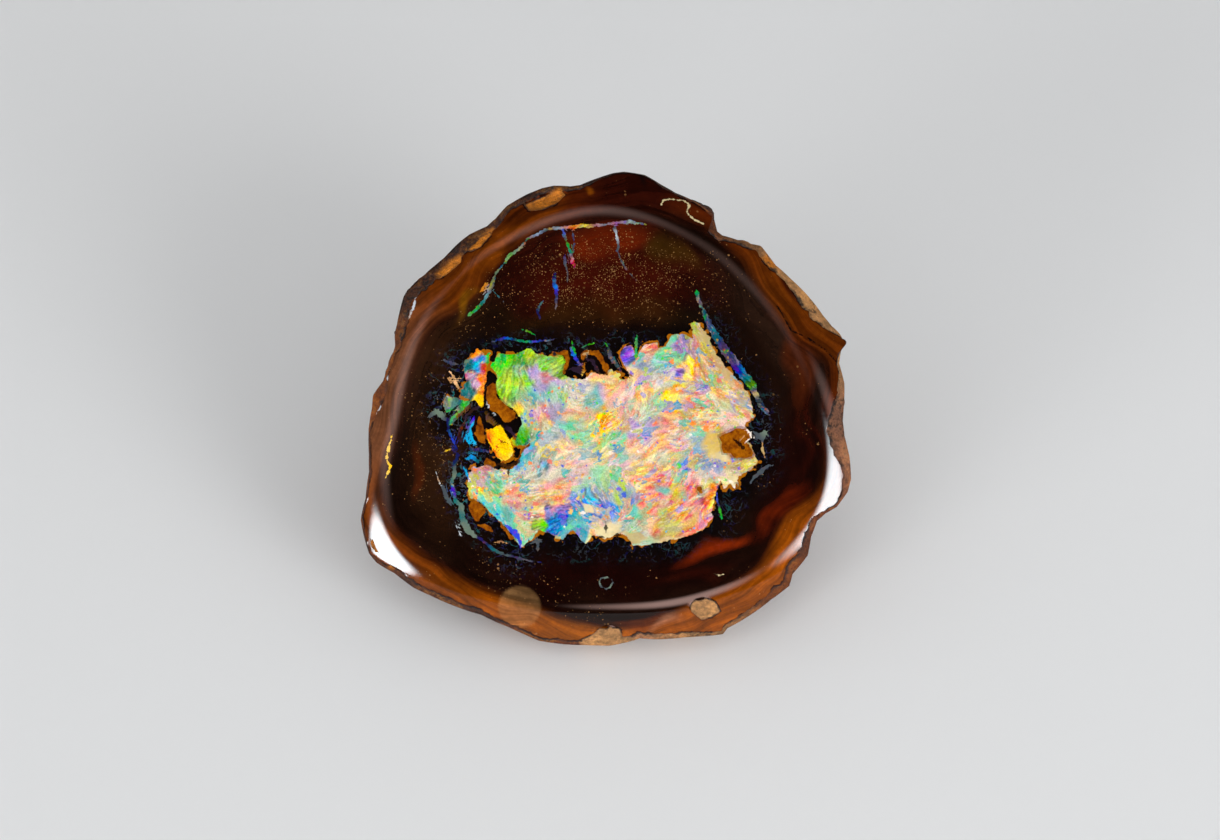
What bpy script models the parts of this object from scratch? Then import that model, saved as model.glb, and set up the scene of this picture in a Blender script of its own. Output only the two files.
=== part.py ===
"""Rough opal specimen: a boulder opal nodule with one polished face, at rest on a flat of its underside.

The nodule grew as one stone, so it is one solid. It is shaped in its own face frame, in millimetres:
u runs right across the polished face, v up it and w out of it, and the face's centre is (0, 0, 0).
A bearing is an angle in the face, in degrees, from +u towards +v. A depth is measured behind the face.
The stone is then tilted back, set over the floor and cut flat where it rests.
"""
import math

import bmesh
import bpy
from mathutils import Matrix, Vector, noise

# Driving dimensions: millimetres and degrees, apart from MM, which is in metres.
MM = 0.001
FACE_TILT = 43.0                    # from straight up to the face's outward normal
FACE_CENTRE = Vector((0.0, -3.5, 17.0))     # of the polished face, from the middle of the stone's base
BODY_DEPTH = 20.5                   # from the face's centre to the back of the stone
BODY_FULLNESS = 2.5                 # power of the back's round section: 2 is an ellipse, more is boxier
BODY_RADIUS = 19.0                  # mean radius that the back rounds off to
CREASE_ANGLE = 40.0                 # faces that meet at more than this are shaded sharp
ROUNDING = (2.0, 12.0)              # depths between which the outline's corners fade into the round back
CROWN_RADIUS = 175.0                # of the sphere that the flat middle of the polished dome follows
SKIN_DROP = 0.9                     # fall from the polish's edge to the widest line, per mm of skin between
LEAST_SKIN = 0.4                    # least width of skin that this fall is worked out for
CLOSEST_MERIDIANS = 3.2             # widest angle left between two lines of vertices, degrees

# The stone's widest line, seen straight onto the face: bearing, radius. Its corners are chipped flakes.
OUTLINE = [
    (0.0, 19.50), (6.0, 19.70), (11.0, 19.55), (13.3, 19.95), (15.6, 20.80), (17.8, 20.50),
    (20.0, 19.90), (23.0, 19.50), (29.0, 19.05), (35.0, 18.55), (40.0, 18.25), (46.3, 18.45),
    (49.0, 17.90), (52.0, 17.50), (56.0, 17.05), (60.0, 17.15), (60.7, 18.15), (66.0, 18.50),
    (72.0, 18.60), (76.0, 18.95), (80.5, 19.55), (85.5, 19.60), (88.0, 19.40), (92.0, 18.90),
    (96.5, 18.40), (99.0, 18.40), (103.0, 18.75), (106.0, 18.80), (110.0, 18.70), (116.0, 18.45),
    (120.0, 17.95), (123.0, 17.80), (128.0, 18.10), (137.0, 18.10), (142.0, 18.35), (146.0, 18.50),
    (149.0, 18.90), (151.0, 18.90), (155.0, 18.60), (160.0, 18.25), (163.0, 17.90), (167.0, 17.95),
    (173.0, 18.30), (176.7, 19.05), (180.0, 19.10), (185.0, 19.45), (191.0, 19.70), (195.0, 20.00),
    (200.5, 20.95), (204.4, 22.05), (208.0, 22.45), (211.5, 22.80), (214.0, 22.65), (218.0, 21.90),
    (223.0, 21.50), (227.0, 20.95), (234.0, 20.20), (239.0, 19.70), (246.0, 19.60), (250.0, 19.70),
    (254.0, 19.90), (259.0, 19.75), (265.0, 19.55), (271.0, 19.50), (275.0, 19.30), (278.4, 19.05),
    (283.0, 19.45), (289.0, 19.90), (293.0, 20.40), (297.5, 21.15), (299.0, 20.75), (306.0, 20.75),
    (311.0, 20.75), (316.0, 20.95), (318.5, 20.45), (324.0, 20.45), (328.0, 19.80), (332.0, 19.55),
    (334.5, 19.90), (337.0, 20.55), (341.0, 20.95), (344.0, 20.90), (349.0, 20.35), (353.5, 19.70),
    (357.0, 19.45),
]

# The shoulder line, where the polished dome begins to roll over to its margin: bearing, radius.
SHOULDER_LINE = [
    (8.0, 16.2), (35.0, 15.0), (60.0, 15.0), (90.0, 15.6), (120.0, 15.4), (150.0, 15.9), (180.0, 16.5),
    (200.0, 18.5), (214.0, 19.4), (231.0, 17.8), (250.0, 16.2), (272.0, 15.5), (296.0, 16.4),
    (317.0, 17.8), (339.0, 18.6),
]

# Distance beyond the shoulder line over which the margin rolls over to 45 degrees: bearing, distance.
ROLL_WIDTH = [
    (0.0, 4.2), (30.0, 3.8), (60.0, 3.8), (90.0, 4.0), (120.0, 3.6), (150.0, 3.8), (180.0, 4.6),
    (200.0, 5.6), (214.0, 6.2), (235.0, 4.4), (260.0, 3.8), (290.0, 4.2), (315.0, 4.6), (339.0, 5.2),
]

# How far inside the widest line the polish stops: bearing, distance. The rough skin shows where it is wide.
POLISH_INSET = [
    (0.0, 1.00), (5.0, 0.50), (10.0, 0.25), (15.0, 0.10), (18.0, 0.55), (22.0, 0.90), (28.0, 0.90),
    (36.0, 0.50), (46.0, 0.60), (52.0, 0.30), (59.0, 0.50), (60.8, 0.15), (90.0, 0.15), (100.0, 0.40),
    (116.0, 0.45), (126.0, 0.75), (140.0, 1.00), (150.0, 0.75), (158.0, 0.75), (166.0, 0.15),
    (172.0, 0.20), (176.5, 0.85), (181.0, 0.45), (186.0, 0.10), (200.0, 0.20), (212.0, 0.20),
    (221.0, 0.50), (245.0, 0.30), (270.0, 0.45), (310.0, 0.50), (324.0, 0.80), (331.0, 0.40),
    (338.0, 0.20), (345.0, 0.60), (351.0, 1.50), (356.0, 1.30),
]

# Chips and small crusts on the polished margin:
# bearing, radius, half length along the margin, half width, height (negative is a hollow).
MARGIN_MARKS = [
    (105.5, 17.7, 2.1, 0.9, -0.55), (125.6, 17.2, 1.6, 0.8, -0.45), (137.7, 17.1, 1.8, 0.9, -0.50),
    (42.0, 18.0, 1.3, 0.8, -0.40), (271.0, 18.5, 1.3, 0.9, 0.35), (295.7, 18.2, 1.2, 0.9, 0.35),
]

# Rounded lumps and pits of the rough skin: bearing, depth, radius, height (negative is a pit).
SKIN_MARKS = [
    (12.0, 6.5, 3.2, 1.0), (38.0, 9.0, 4.2, -1.1), (64.0, 5.5, 3.0, 0.9), (83.0, 10.0, 4.0, 1.2),
    (104.0, 6.0, 2.8, -0.9), (122.0, 10.5, 4.0, 1.1), (146.0, 5.5, 2.8, 0.9), (163.0, 10.0, 3.4, -1.2),
    (186.0, 6.0, 3.0, 0.8), (204.0, 9.5, 3.6, 1.0), (228.0, 5.5, 2.6, -0.8), (318.0, 6.0, 3.0, 0.9),
    (340.0, 10.5, 4.0, 1.1), (352.0, 6.5, 2.4, -0.9), (60.0, 14.5, 4.0, -1.0), (100.0, 15.5, 3.6, 0.9),
    (140.0, 15.0, 3.4, 0.9), (30.0, 14.0, 3.4, 1.0), (180.0, 15.0, 3.6, 0.8), (78.0, 13.5, 2.2, -0.8),
]

MARK_FLAT = 0.25                    # share of a mark's radius over which it keeps its full height

# Broken faces that flatten the skin: bearing, how far the break leans to the back, distance from the core.
BREAKS = [
    (40.0, 22.0, 17.2), (96.0, 34.0, 16.9), (158.0, 30.0, 16.4), (352.0, 38.0, 16.6), (70.0, 68.0, 12.6),
]
BREAK_SOFTNESS = 0.35               # share of the skin's relief that is left on a broken face
BREAK_STARTS = 0.25                 # share of the way round the back over which that relief comes in

# Wavy ledges, where a shell of ironstone has spalled off the flank: depth, wave, step inwards.
LEDGES = [(4.4, 1.6, 0.65), (8.6, 2.2, 0.75), (12.8, 1.8, 0.60)]
LEDGE_BLUR = 0.4                    # half the depth over which each ledge steps in
LEDGE_TURN = 1.6                    # a ledge waves as noise does round a circle of this radius

SWELL = (8.0, 1.0)                  # size and height of the skin's broad swells
RIDGE = (3.8, 1.15)                 # size and height of its sharp ridges
GRIT = (1.9, 0.42)                  # size and height of its small knobs
CORE_DEPTH = 4.0                    # depth of the point that the skin's relief stands out from
RELIEF_STARTS = (1.2, 5.0)          # depths between which the relief grows to its full height

DOME_RINGS = [0.30, 0.58, 0.82, 1.0]            # as shares of the shoulder line's radius
MARGIN_RINGS = [0.3, 0.55, 0.8, 1.0]            # as shares of the way from there to the polish's edge
BACK_RINGS = 23


def around(table, bearing):
    """Value of a closed table of bearings and values, in straight lines between its rows."""
    bearing %= 360.0
    for (start, first), (end, last) in zip(table, table[1:] + [(table[0][0] + 360.0, table[0][1])]):
        if start <= bearing <= end:
            return first + (last - first) * (bearing - start) / (end - start)
    return table[-1][1]


def around_smoothly(table, bearing):
    """Value of a closed table of bearings and values, on a smooth curve through its rows."""
    rows = [(row_bearing - turn, value) for turn in (360.0, 0.0, -360.0) for row_bearing, value in table]
    bearing %= 360.0
    for before, start, end, after in zip(rows, rows[1:], rows[2:], rows[3:]):
        if start[0] <= bearing <= end[0]:
            span = end[0] - start[0]
            leaving = (end[1] - before[1]) / (end[0] - before[0]) * span
            arriving = (after[1] - start[1]) / (after[0] - start[0]) * span
            share = (bearing - start[0]) / span
            bend = share * (1.0 - share) * ((leaving - end[1] + start[1]) * (1.0 - share)
                                            - (arriving - end[1] + start[1]) * share)
            return start[1] + (end[1] - start[1]) * share + bend
    return table[0][1]


def smoothstep(low, high, value):
    """0 below low, 1 above high, and a smooth rise between."""
    share = min(max((value - low) / (high - low), 0.0), 1.0)
    return share * share * (3.0 - 2.0 * share)


def in_face(bearing, radius, depth=0.0):
    """Point of the face frame at a bearing, radius and depth."""
    angle = math.radians(bearing)
    return Vector((radius * math.cos(angle), radius * math.sin(angle), -depth))


def meridians():
    """Bearings of the lines of vertices: every corner of the outline, and evenly between far ones."""
    bearings = []
    corners = [bearing for bearing, _ in OUTLINE]
    for start, end in zip(corners, corners[1:] + [corners[0] + 360.0]):
        steps = math.ceil((end - start) / CLOSEST_MERIDIANS)
        bearings += [start + (end - start) * step / steps for step in range(steps)]
    return bearings


def polish_radius(bearing):
    """Radius at which the polish ends."""
    return around(OUTLINE, bearing) - around(POLISH_INSET, bearing)


def margin_height(bearing, radius):
    """Height that chips and crusts add to the polished margin."""
    height = 0.0
    for mark_bearing, mark_radius, half_length, half_width, mark_height in MARGIN_MARKS:
        turn = math.radians((bearing - mark_bearing + 180.0) % 360.0 - 180.0)
        reach = math.hypot(turn * radius / half_length, (radius - mark_radius) / half_width)
        height += mark_height * (1.0 - smoothstep(MARK_FLAT, 1.0, reach))
    return height


def polished_depth(bearing, radius):
    """Depth of the polished face: a low dome whose margin rolls over to the edge."""
    crown = radius * radius / (2.0 * CROWN_RADIUS)
    over = max(radius - around_smoothly(SHOULDER_LINE, bearing), 0.0)
    width = around_smoothly(ROLL_WIDTH, bearing)
    roll = over * over / (2.0 * width) if over < width else over - 0.5 * width
    return crown + roll - margin_height(bearing, radius)


def polished_point(bearing, radius):
    """Point of the polished face."""
    return in_face(bearing, radius, polished_depth(bearing, radius))


def edge_depth(bearing):
    """Depth of the skin's widest line, just under the polish's edge."""
    skin = max(around(POLISH_INSET, bearing), LEAST_SKIN)
    return polished_depth(bearing, polish_radius(bearing)) + SKIN_DROP * skin


def ledge_step(bearing, depth):
    """How far the flank has stepped in below its spalled ledges."""
    step = 0.0
    for ledge_depth, wave, inwards in LEDGES:
        line = ledge_depth + wave * noise.noise(in_face(bearing, LEDGE_TURN, ledge_depth))
        step += inwards * smoothstep(line - LEDGE_BLUR, line + LEDGE_BLUR, depth)
    return step


def skin_relief(point, bearing, depth):
    """Height of lumps, pits, ridges and ledges over the stone's even back."""
    height = SWELL[1] * noise.noise(point / SWELL[0])
    height += RIDGE[1] * (0.5 - 2.0 * abs(noise.noise(point / RIDGE[0])))
    height += GRIT[1] * noise.noise(point / GRIT[0])
    for mark_bearing, mark_depth, radius, mark_height in SKIN_MARKS:
        reach = (point - back_point(mark_bearing, mark_depth)).length / radius
        height += mark_height * (1.0 - smoothstep(MARK_FLAT, 1.0, reach))
    return height - ledge_step(bearing, depth)


def back_radius(bearing, depth):
    """Radius of the even back at a depth, before its relief."""
    share = min((depth / BODY_DEPTH) ** BODY_FULLNESS, 1.0)
    corner = around(OUTLINE, bearing)
    round_off = smoothstep(ROUNDING[0], ROUNDING[1], depth)
    return (corner + (BODY_RADIUS - corner) * round_off) * (1.0 - share) ** (1.0 / BODY_FULLNESS)


def back_point(bearing, depth):
    """Point of the even back at a bearing and depth."""
    return in_face(bearing, back_radius(bearing, depth), depth)


def skin_point(bearing, share):
    """Point of the rough skin, from the widest line (share 0) round to the back's pole (share 1)."""
    start = edge_depth(bearing)
    sweep = math.sin(0.5 * math.pi * share) ** (2.0 / BODY_FULLNESS)
    depth = start + (BODY_DEPTH - start) * sweep
    even = back_point(bearing, depth)
    core = Vector((0.0, 0.0, -CORE_DEPTH))
    outwards = (even - core).normalized()
    relief = skin_relief(even, bearing, depth) * smoothstep(*RELIEF_STARTS, depth - start)
    point = even + outwards * relief
    for break_bearing, lean, distance in BREAKS:
        normal = in_face(break_bearing, math.cos(math.radians(lean)), math.sin(math.radians(lean)))
        beyond = (point - core).dot(normal) - distance
        if beyond > 0.0 and share > 0.0:
            point -= normal * (beyond * (1.0 - BREAK_SOFTNESS * min(share / BREAK_STARTS, 1.0)))
    return point


def station(bearing, ring):
    """Point of the stone on one meridian, ring by ring from the face's centre to the back's pole."""
    shoulder = around_smoothly(SHOULDER_LINE, bearing)
    margin = polish_radius(bearing) - shoulder
    rings = [shoulder * share for share in [0.0] + DOME_RINGS]
    rings += [shoulder + margin * share for share in MARGIN_RINGS]
    if ring < len(rings):
        return polished_point(bearing, rings[ring])
    return skin_point(bearing, (ring - len(rings)) / BACK_RINGS)


def shape_stone(bm):
    """Move a sphere's vertices, meridian by meridian and ring by ring, onto the stone."""
    bearings = meridians()
    count = len(bearings)
    rings = len(DOME_RINGS) + len(MARGIN_RINGS) + 1 + BACK_RINGS
    bmesh.ops.create_uvsphere(bm, u_segments=count, v_segments=rings, radius=1.0)
    for vert in bm.verts:
        meridian = round(math.atan2(vert.co.y, vert.co.x) / math.tau * count) % count
        ring = round(math.acos(max(-1.0, min(1.0, vert.co.z))) / math.pi * rings)
        vert.co = station(bearings[meridian], ring)


def drop_crumbs(bm):
    """Delete the small bits that the cut leaves beside the stone, where the skin only brushed the floor."""
    stone = {max(bm.verts, key=lambda vert: vert.co.z)}
    border = list(stone)
    while border:
        near = {edge.other_vert(vert) for vert in border for edge in vert.link_edges}
        border = list(near - stone)
        stone |= near
    bmesh.ops.delete(bm, geom=[vert for vert in bm.verts if vert not in stone], context="VERTS")


def set_at_rest(bm):
    """Tilt the stone back, set it over the floor and cut it flat there."""
    tilt = Matrix.Rotation(math.radians(FACE_TILT), 4, "X")
    bmesh.ops.transform(bm, matrix=Matrix.Translation(FACE_CENTRE) @ tilt, verts=bm.verts)
    whole = bm.verts[:] + bm.edges[:] + bm.faces[:]
    cut = bmesh.ops.bisect_plane(
        bm, geom=whole, dist=0.0001, plane_co=(0.0, 0.0, 0.0), plane_no=(0.0, 0.0, -1.0), clear_outer=True
    )
    rim = [item for item in cut["geom_cut"] if isinstance(item, bmesh.types.BMEdge)]
    bmesh.ops.edgeloop_fill(bm, edges=rim)
    drop_crumbs(bm)
    bmesh.ops.triangulate(bm, faces=bm.faces[:])
    bmesh.ops.recalc_face_normals(bm, faces=bm.faces[:])
    bmesh.ops.scale(bm, vec=(MM, MM, MM), verts=bm.verts)


def ironstone():
    """Polished dark brown ironstone."""
    material = bpy.data.materials.new("ironstone")
    material.use_nodes = True
    shader = material.node_tree.nodes["Principled BSDF"]
    shader.inputs["Base Color"].default_value = (0.10, 0.032, 0.010, 1.0)
    shader.inputs["Roughness"].default_value = 0.35
    shader.inputs["Metallic"].default_value = 0.0
    return material


def build_specimen(collection):
    """The whole stone, as one object."""
    mesh = bpy.data.meshes.new("opal_specimen")
    bm = bmesh.new()
    shape_stone(bm)
    set_at_rest(bm)
    bm.to_mesh(mesh)
    bm.free()
    mesh.shade_smooth()
    mesh.set_sharp_from_angle(angle=math.radians(CREASE_ANGLE))
    mesh.materials.append(ironstone())
    specimen = bpy.data.objects.new("opal_specimen", mesh)
    collection.objects.link(specimen)
    return specimen


def main():
    for old in list(bpy.data.objects):
        bpy.data.objects.remove(old, do_unlink=True)
    collection = bpy.data.collections.new("rough opal specimen")
    bpy.context.scene.collection.children.link(collection)
    build_specimen(collection)


main()
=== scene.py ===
"""Looks of the rough opal specimen: one boulder opal nodule with a polished face.

The stone is shaped in its own face frame, in millimetres: u runs right across the polished face, v up it
and w out of it, with the face's centre at (0, 0, 0). A bearing is an angle in the face, in degrees, from
+u towards +v. A depth is measured behind the face. Colours are written as sRGB, 0 to 255.
"""
import math

import bmesh
import bpy
import numpy as np
from mathutils import Matrix, Vector, noise


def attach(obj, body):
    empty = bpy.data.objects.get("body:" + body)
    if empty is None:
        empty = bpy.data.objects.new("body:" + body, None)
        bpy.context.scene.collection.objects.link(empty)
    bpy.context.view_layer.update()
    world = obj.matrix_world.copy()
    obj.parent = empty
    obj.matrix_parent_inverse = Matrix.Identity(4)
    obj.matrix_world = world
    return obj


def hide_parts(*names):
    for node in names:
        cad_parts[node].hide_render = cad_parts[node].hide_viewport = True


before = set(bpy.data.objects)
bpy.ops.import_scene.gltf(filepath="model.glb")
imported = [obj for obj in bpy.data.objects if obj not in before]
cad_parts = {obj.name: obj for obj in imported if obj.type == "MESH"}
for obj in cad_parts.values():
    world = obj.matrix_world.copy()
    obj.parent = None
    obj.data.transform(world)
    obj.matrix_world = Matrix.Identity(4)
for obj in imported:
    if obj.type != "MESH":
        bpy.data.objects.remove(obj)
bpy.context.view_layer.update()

# ---------------------------------------------------------------- the stone's form, as in the CAD

MM = 0.001
NODE = "opal_specimen"
FACE_TILT = 43.0                    # from straight up to the face's outward normal
FACE_CENTRE = Vector((0.0, -3.5, 17.0))     # of the polished face, from the middle of the stone's base
BODY_DEPTH = 20.5                   # from the face's centre to the back of the stone
BODY_FULLNESS = 2.5                 # power of the back's round section: 2 is an ellipse, more is boxier
BODY_RADIUS = 19.0                  # mean radius that the back rounds off to
ROUNDING = (2.0, 12.0)              # depths between which the outline's corners fade into the round back
CROWN_RADIUS = 175.0                # of the sphere that the flat middle of the polished dome follows
SKIN_DROP = 0.9                     # fall from the polish's edge to the widest line, per mm of skin between
LEAST_SKIN = 0.4                    # least width of skin that this fall is worked out for
CORE_DEPTH = 4.0                    # depth of the point that the skin's relief stands out from
RELIEF_STARTS = (1.2, 5.0)          # depths between which the relief grows to its full height

# The stone's widest line: bearing, radius. Its corners are chipped flakes.
OUTLINE = [
    (0.0, 19.5), (6.0, 19.7), (11.0, 19.55), (13.3, 19.95), (15.6, 20.8), (17.8, 20.5), (20.0, 19.9),
    (23.0, 19.5), (29.0, 19.05), (35.0, 18.55), (40.0, 18.25), (46.3, 18.45), (49.0, 17.9), (52.0, 17.5),
    (56.0, 17.05), (60.0, 17.15), (60.7, 18.15), (66.0, 18.5), (72.0, 18.6), (76.0, 18.95), (80.5, 19.55),
    (85.5, 19.6), (88.0, 19.4), (92.0, 18.9), (96.5, 18.4), (99.0, 18.4), (103.0, 18.75), (106.0, 18.8),
    (110.0, 18.7), (116.0, 18.45), (120.0, 17.95), (123.0, 17.8), (128.0, 18.1), (137.0, 18.1),
    (142.0, 18.35), (146.0, 18.5), (149.0, 18.9), (151.0, 18.9), (155.0, 18.6), (160.0, 18.25),
    (163.0, 17.9), (167.0, 17.95), (173.0, 18.3), (176.7, 19.05), (180.0, 19.1), (185.0, 19.45),
    (191.0, 19.7), (195.0, 20.0), (200.5, 20.95), (204.4, 22.05), (208.0, 22.45), (211.5, 22.8),
    (214.0, 22.65), (218.0, 21.9), (223.0, 21.5), (227.0, 20.95), (234.0, 20.2), (239.0, 19.7),
    (246.0, 19.6), (250.0, 19.7), (254.0, 19.9), (259.0, 19.75), (265.0, 19.55), (271.0, 19.5),
    (275.0, 19.3), (278.4, 19.05), (283.0, 19.45), (289.0, 19.9), (293.0, 20.4), (297.5, 21.15),
    (299.0, 20.75), (306.0, 20.75), (311.0, 20.75), (316.0, 20.95), (318.5, 20.45), (324.0, 20.45),
    (328.0, 19.8), (332.0, 19.55), (334.5, 19.9), (337.0, 20.55), (341.0, 20.95), (344.0, 20.9),
    (349.0, 20.35), (353.5, 19.7), (357.0, 19.45),
]
# Where the polished dome begins to roll over to its margin: bearing, radius.
SHOULDER_LINE = [
    (8.0, 16.2), (35.0, 15.0), (60.0, 15.0), (90.0, 15.6), (120.0, 15.4), (150.0, 15.9), (180.0, 16.5),
    (200.0, 18.5), (214.0, 19.4), (231.0, 17.8), (250.0, 16.2), (272.0, 15.5), (296.0, 16.4), (317.0, 17.8),
    (339.0, 18.6),
]
# Distance beyond that line over which the margin rolls over to 45 degrees: bearing, distance.
ROLL_WIDTH = [
    (0.0, 4.2), (30.0, 3.8), (60.0, 3.8), (90.0, 4.0), (120.0, 3.6), (150.0, 3.8), (180.0, 4.6),
    (200.0, 5.6), (214.0, 6.2), (235.0, 4.4), (260.0, 3.8), (290.0, 4.2), (315.0, 4.6), (339.0, 5.2),
]
# How far inside the widest line the polish stops: bearing, distance.
POLISH_INSET = [
    (0.0, 1.0), (5.0, 0.5), (10.0, 0.25), (15.0, 0.1), (18.0, 0.55), (22.0, 0.9), (28.0, 0.9), (36.0, 0.5),
    (46.0, 0.6), (52.0, 0.3), (59.0, 0.5), (60.8, 0.15), (90.0, 0.15), (100.0, 0.4), (116.0, 0.45),
    (126.0, 0.75), (140.0, 1.0), (150.0, 0.75), (158.0, 0.75), (166.0, 0.15), (172.0, 0.2), (176.5, 0.85),
    (181.0, 0.45), (186.0, 0.1), (200.0, 0.2), (212.0, 0.2), (221.0, 0.5), (245.0, 0.3), (270.0, 0.45),
    (310.0, 0.5), (324.0, 0.8), (331.0, 0.4), (338.0, 0.2), (345.0, 0.6), (351.0, 1.5), (356.0, 1.3),
]
# Chips and small crusts on the polished margin: bearing, radius, half length, half width, height.
MARGIN_MARKS = [
    (105.5, 17.7, 2.1, 0.9, -0.55), (125.6, 17.2, 1.6, 0.8, -0.45), (137.7, 17.1, 1.8, 0.9, -0.5),
    (42.0, 18.0, 1.3, 0.8, -0.4), (271.0, 18.5, 1.3, 0.9, 0.35), (295.7, 18.2, 1.2, 0.9, 0.35),
]
# Rounded lumps and pits of the rough skin: bearing, depth, radius, height.
SKIN_MARKS = [
    (12.0, 6.5, 3.2, 1.0), (38.0, 9.0, 4.2, -1.1), (64.0, 5.5, 3.0, 0.9), (83.0, 10.0, 4.0, 1.2),
    (104.0, 6.0, 2.8, -0.9), (122.0, 10.5, 4.0, 1.1), (146.0, 5.5, 2.8, 0.9), (163.0, 10.0, 3.4, -1.2),
    (186.0, 6.0, 3.0, 0.8), (204.0, 9.5, 3.6, 1.0), (228.0, 5.5, 2.6, -0.8), (318.0, 6.0, 3.0, 0.9),
    (340.0, 10.5, 4.0, 1.1), (352.0, 6.5, 2.4, -0.9), (60.0, 14.5, 4.0, -1.0), (100.0, 15.5, 3.6, 0.9),
    (140.0, 15.0, 3.4, 0.9), (30.0, 14.0, 3.4, 1.0), (180.0, 15.0, 3.6, 0.8), (78.0, 13.5, 2.2, -0.8),
]
MARK_FLAT = 0.25                    # share of a mark's radius over which it keeps its full height
# Broken faces that flatten the skin: bearing, lean to the back, distance from the core.
BREAKS = [
    (40.0, 22.0, 17.2), (96.0, 34.0, 16.9), (158.0, 30.0, 16.4), (352.0, 38.0, 16.6), (70.0, 68.0, 12.6),
]
BREAK_SOFTNESS = 0.35               # share of the skin's relief that is left on a broken face
BREAK_STARTS = 0.25                 # share of the way round the back over which that relief comes in
# Wavy ledges, where a shell of ironstone has spalled off the flank: depth, wave, step inwards.
LEDGES = [(4.4, 1.6, 0.65), (8.6, 2.2, 0.75), (12.8, 1.8, 0.60)]
LEDGE_BLUR = 0.4                    # half the depth over which each ledge steps in
LEDGE_TURN = 1.6                    # a ledge waves as noise does round a circle of this radius
# Size and height of the skin's broad swells, sharp ridges and small knobs.
SWELL, RIDGE, GRIT = (8.0, 1.0), (3.8, 1.15), (1.9, 0.42)

# Finer form than the CAD has: size and height of noise, on the skin and along the polish's edge.
SKIN_GRAIN = [(1.1, 0.20), (0.6, 0.10)]
CHIPPED_EDGE = [(1.1, 0.16), (0.4, 0.08)]
GRAIN_RISE = 20.0                   # how fast that grain comes in, from the widest line to the back's pole
LEAST_CHIPPING = 0.4                # share of the chips' height that is left where no skin shows
FACE_STEP = 0.16                    # between vertices on the polished face
SKIN_STEP = 0.42                    # between vertices on the rough skin
RING_COUNTS = [45, 90, 180, 360, 720]           # vertices that a ring may have
MARGIN_RINGS = 17                   # from the shoulder line to the polish's edge
SKIN_RINGS = 4                      # from there to the widest line
BACK_RINGS = 78                     # from there to the back's pole
FINE_BACK_RINGS = 10                # of them, as finely divided as the polish's edge
RING_CROWDING = 1.25                # above 1, they lie closer together near the polish's edge
EDGE_BULGE, LEAST_BULGE, BULGE_SIZE = 0.12, 0.4, 0.7        # between the polish's edge and the widest line
SHARP_ANGLE = 50.0                  # between faces whose edge stays sharp
MIDDLE_POLISH, SKIN_POLISH = 9.0, -0.3      # at the face's centre, and at the skin's widest line
MARKED_POLISH = -0.6                # where the polish is above this, the face's markings are worked out
FAR = 9.0                           # stands for a distance where none is worked out
CUT_WITHIN = 0.0001                 # of the floor's plane, a vertex counts as on it
TINY = 1e-9                         # keeps a sum of weights from being nothing


def around(table, bearings):
    """Values of a closed table at bearings, in straight lines between its rows."""
    rows = np.array(table)
    return np.interp(bearings, rows[:, 0], rows[:, 1], period=360.0)


def around_smoothly(table, bearings):
    """Values of a closed table at bearings, on a smooth curve through its rows."""
    rows = np.array(table)
    rows = np.concatenate([rows - (360.0, 0.0), rows, rows + (360.0, 0.0)])
    at, value = rows[:, 0], rows[:, 1]
    first = np.clip(np.searchsorted(at, np.asarray(bearings) % 360.0, side="right") - 1, 1, len(at) - 3)
    span = at[first + 1] - at[first]
    rise = value[first + 1] - value[first]
    leaving = (value[first + 1] - value[first - 1]) / (at[first + 1] - at[first - 1]) * span
    arriving = (value[first + 2] - value[first]) / (at[first + 2] - at[first]) * span
    share = (np.asarray(bearings) % 360.0 - at[first]) / span
    bend = share * (1.0 - share) * ((leaving - rise) * (1.0 - share) - (arriving - rise) * share)
    return value[first] + rise * share + bend


def smoothstep(low, high, value):
    """0 below low, 1 above high, and a smooth rise between."""
    share = np.clip((value - low) / (high - low), 0.0, 1.0)
    return share * share * (3.0 - 2.0 * share)


def in_face(bearings, radii, depths):
    """Points of the face frame, one row each."""
    angles = np.radians(bearings)
    return np.stack([radii * np.cos(angles), radii * np.sin(angles), -depths + 0.0 * angles], axis=-1)


def noise_at(points, size):
    """Smooth noise, about -0.5 to 0.5, whose features are about size across."""
    return np.array([noise.noise(Vector(point)) for point in points / size])


def polish_radius(bearings):
    """Radius at which the polish ends, chips included."""
    radii = around(OUTLINE, bearings) - around(POLISH_INSET, bearings)
    for size, height in CHIPPED_EDGE:
        ragged = 2.0 * np.abs(noise_at(in_face(bearings, radii, 0.0), size))
        chipping = np.minimum(around(POLISH_INSET, bearings) + LEAST_CHIPPING, 1.0)
        radii = radii - height * ragged * chipping
    return radii


def margin_height(bearings, radii):
    """Height that chips and crusts add to the polished margin."""
    height = np.zeros_like(radii)
    for mark_bearing, mark_radius, half_length, half_width, mark_height in MARGIN_MARKS:
        turn = np.radians((bearings - mark_bearing + 180.0) % 360.0 - 180.0)
        reach = np.hypot(turn * radii / half_length, (radii - mark_radius) / half_width)
        height += mark_height * (1.0 - smoothstep(MARK_FLAT, 1.0, reach))
    return height


def polished_depth(bearings, radii):
    """Depth of the polished face: a low dome whose margin rolls over to the edge."""
    crown = radii * radii / (2.0 * CROWN_RADIUS)
    over = np.maximum(radii - around_smoothly(SHOULDER_LINE, bearings), 0.0)
    width = around_smoothly(ROLL_WIDTH, bearings)
    roll = np.where(over < width, over * over / (2.0 * width), over - 0.5 * width)
    return crown + roll - margin_height(bearings, radii)


def edge_depth(bearings):
    """Depth of the skin's widest line, just under the polish's edge."""
    inset = around(POLISH_INSET, bearings)
    edge = around(OUTLINE, bearings) - inset
    return polished_depth(bearings, edge) + SKIN_DROP * np.maximum(inset, LEAST_SKIN)


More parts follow.
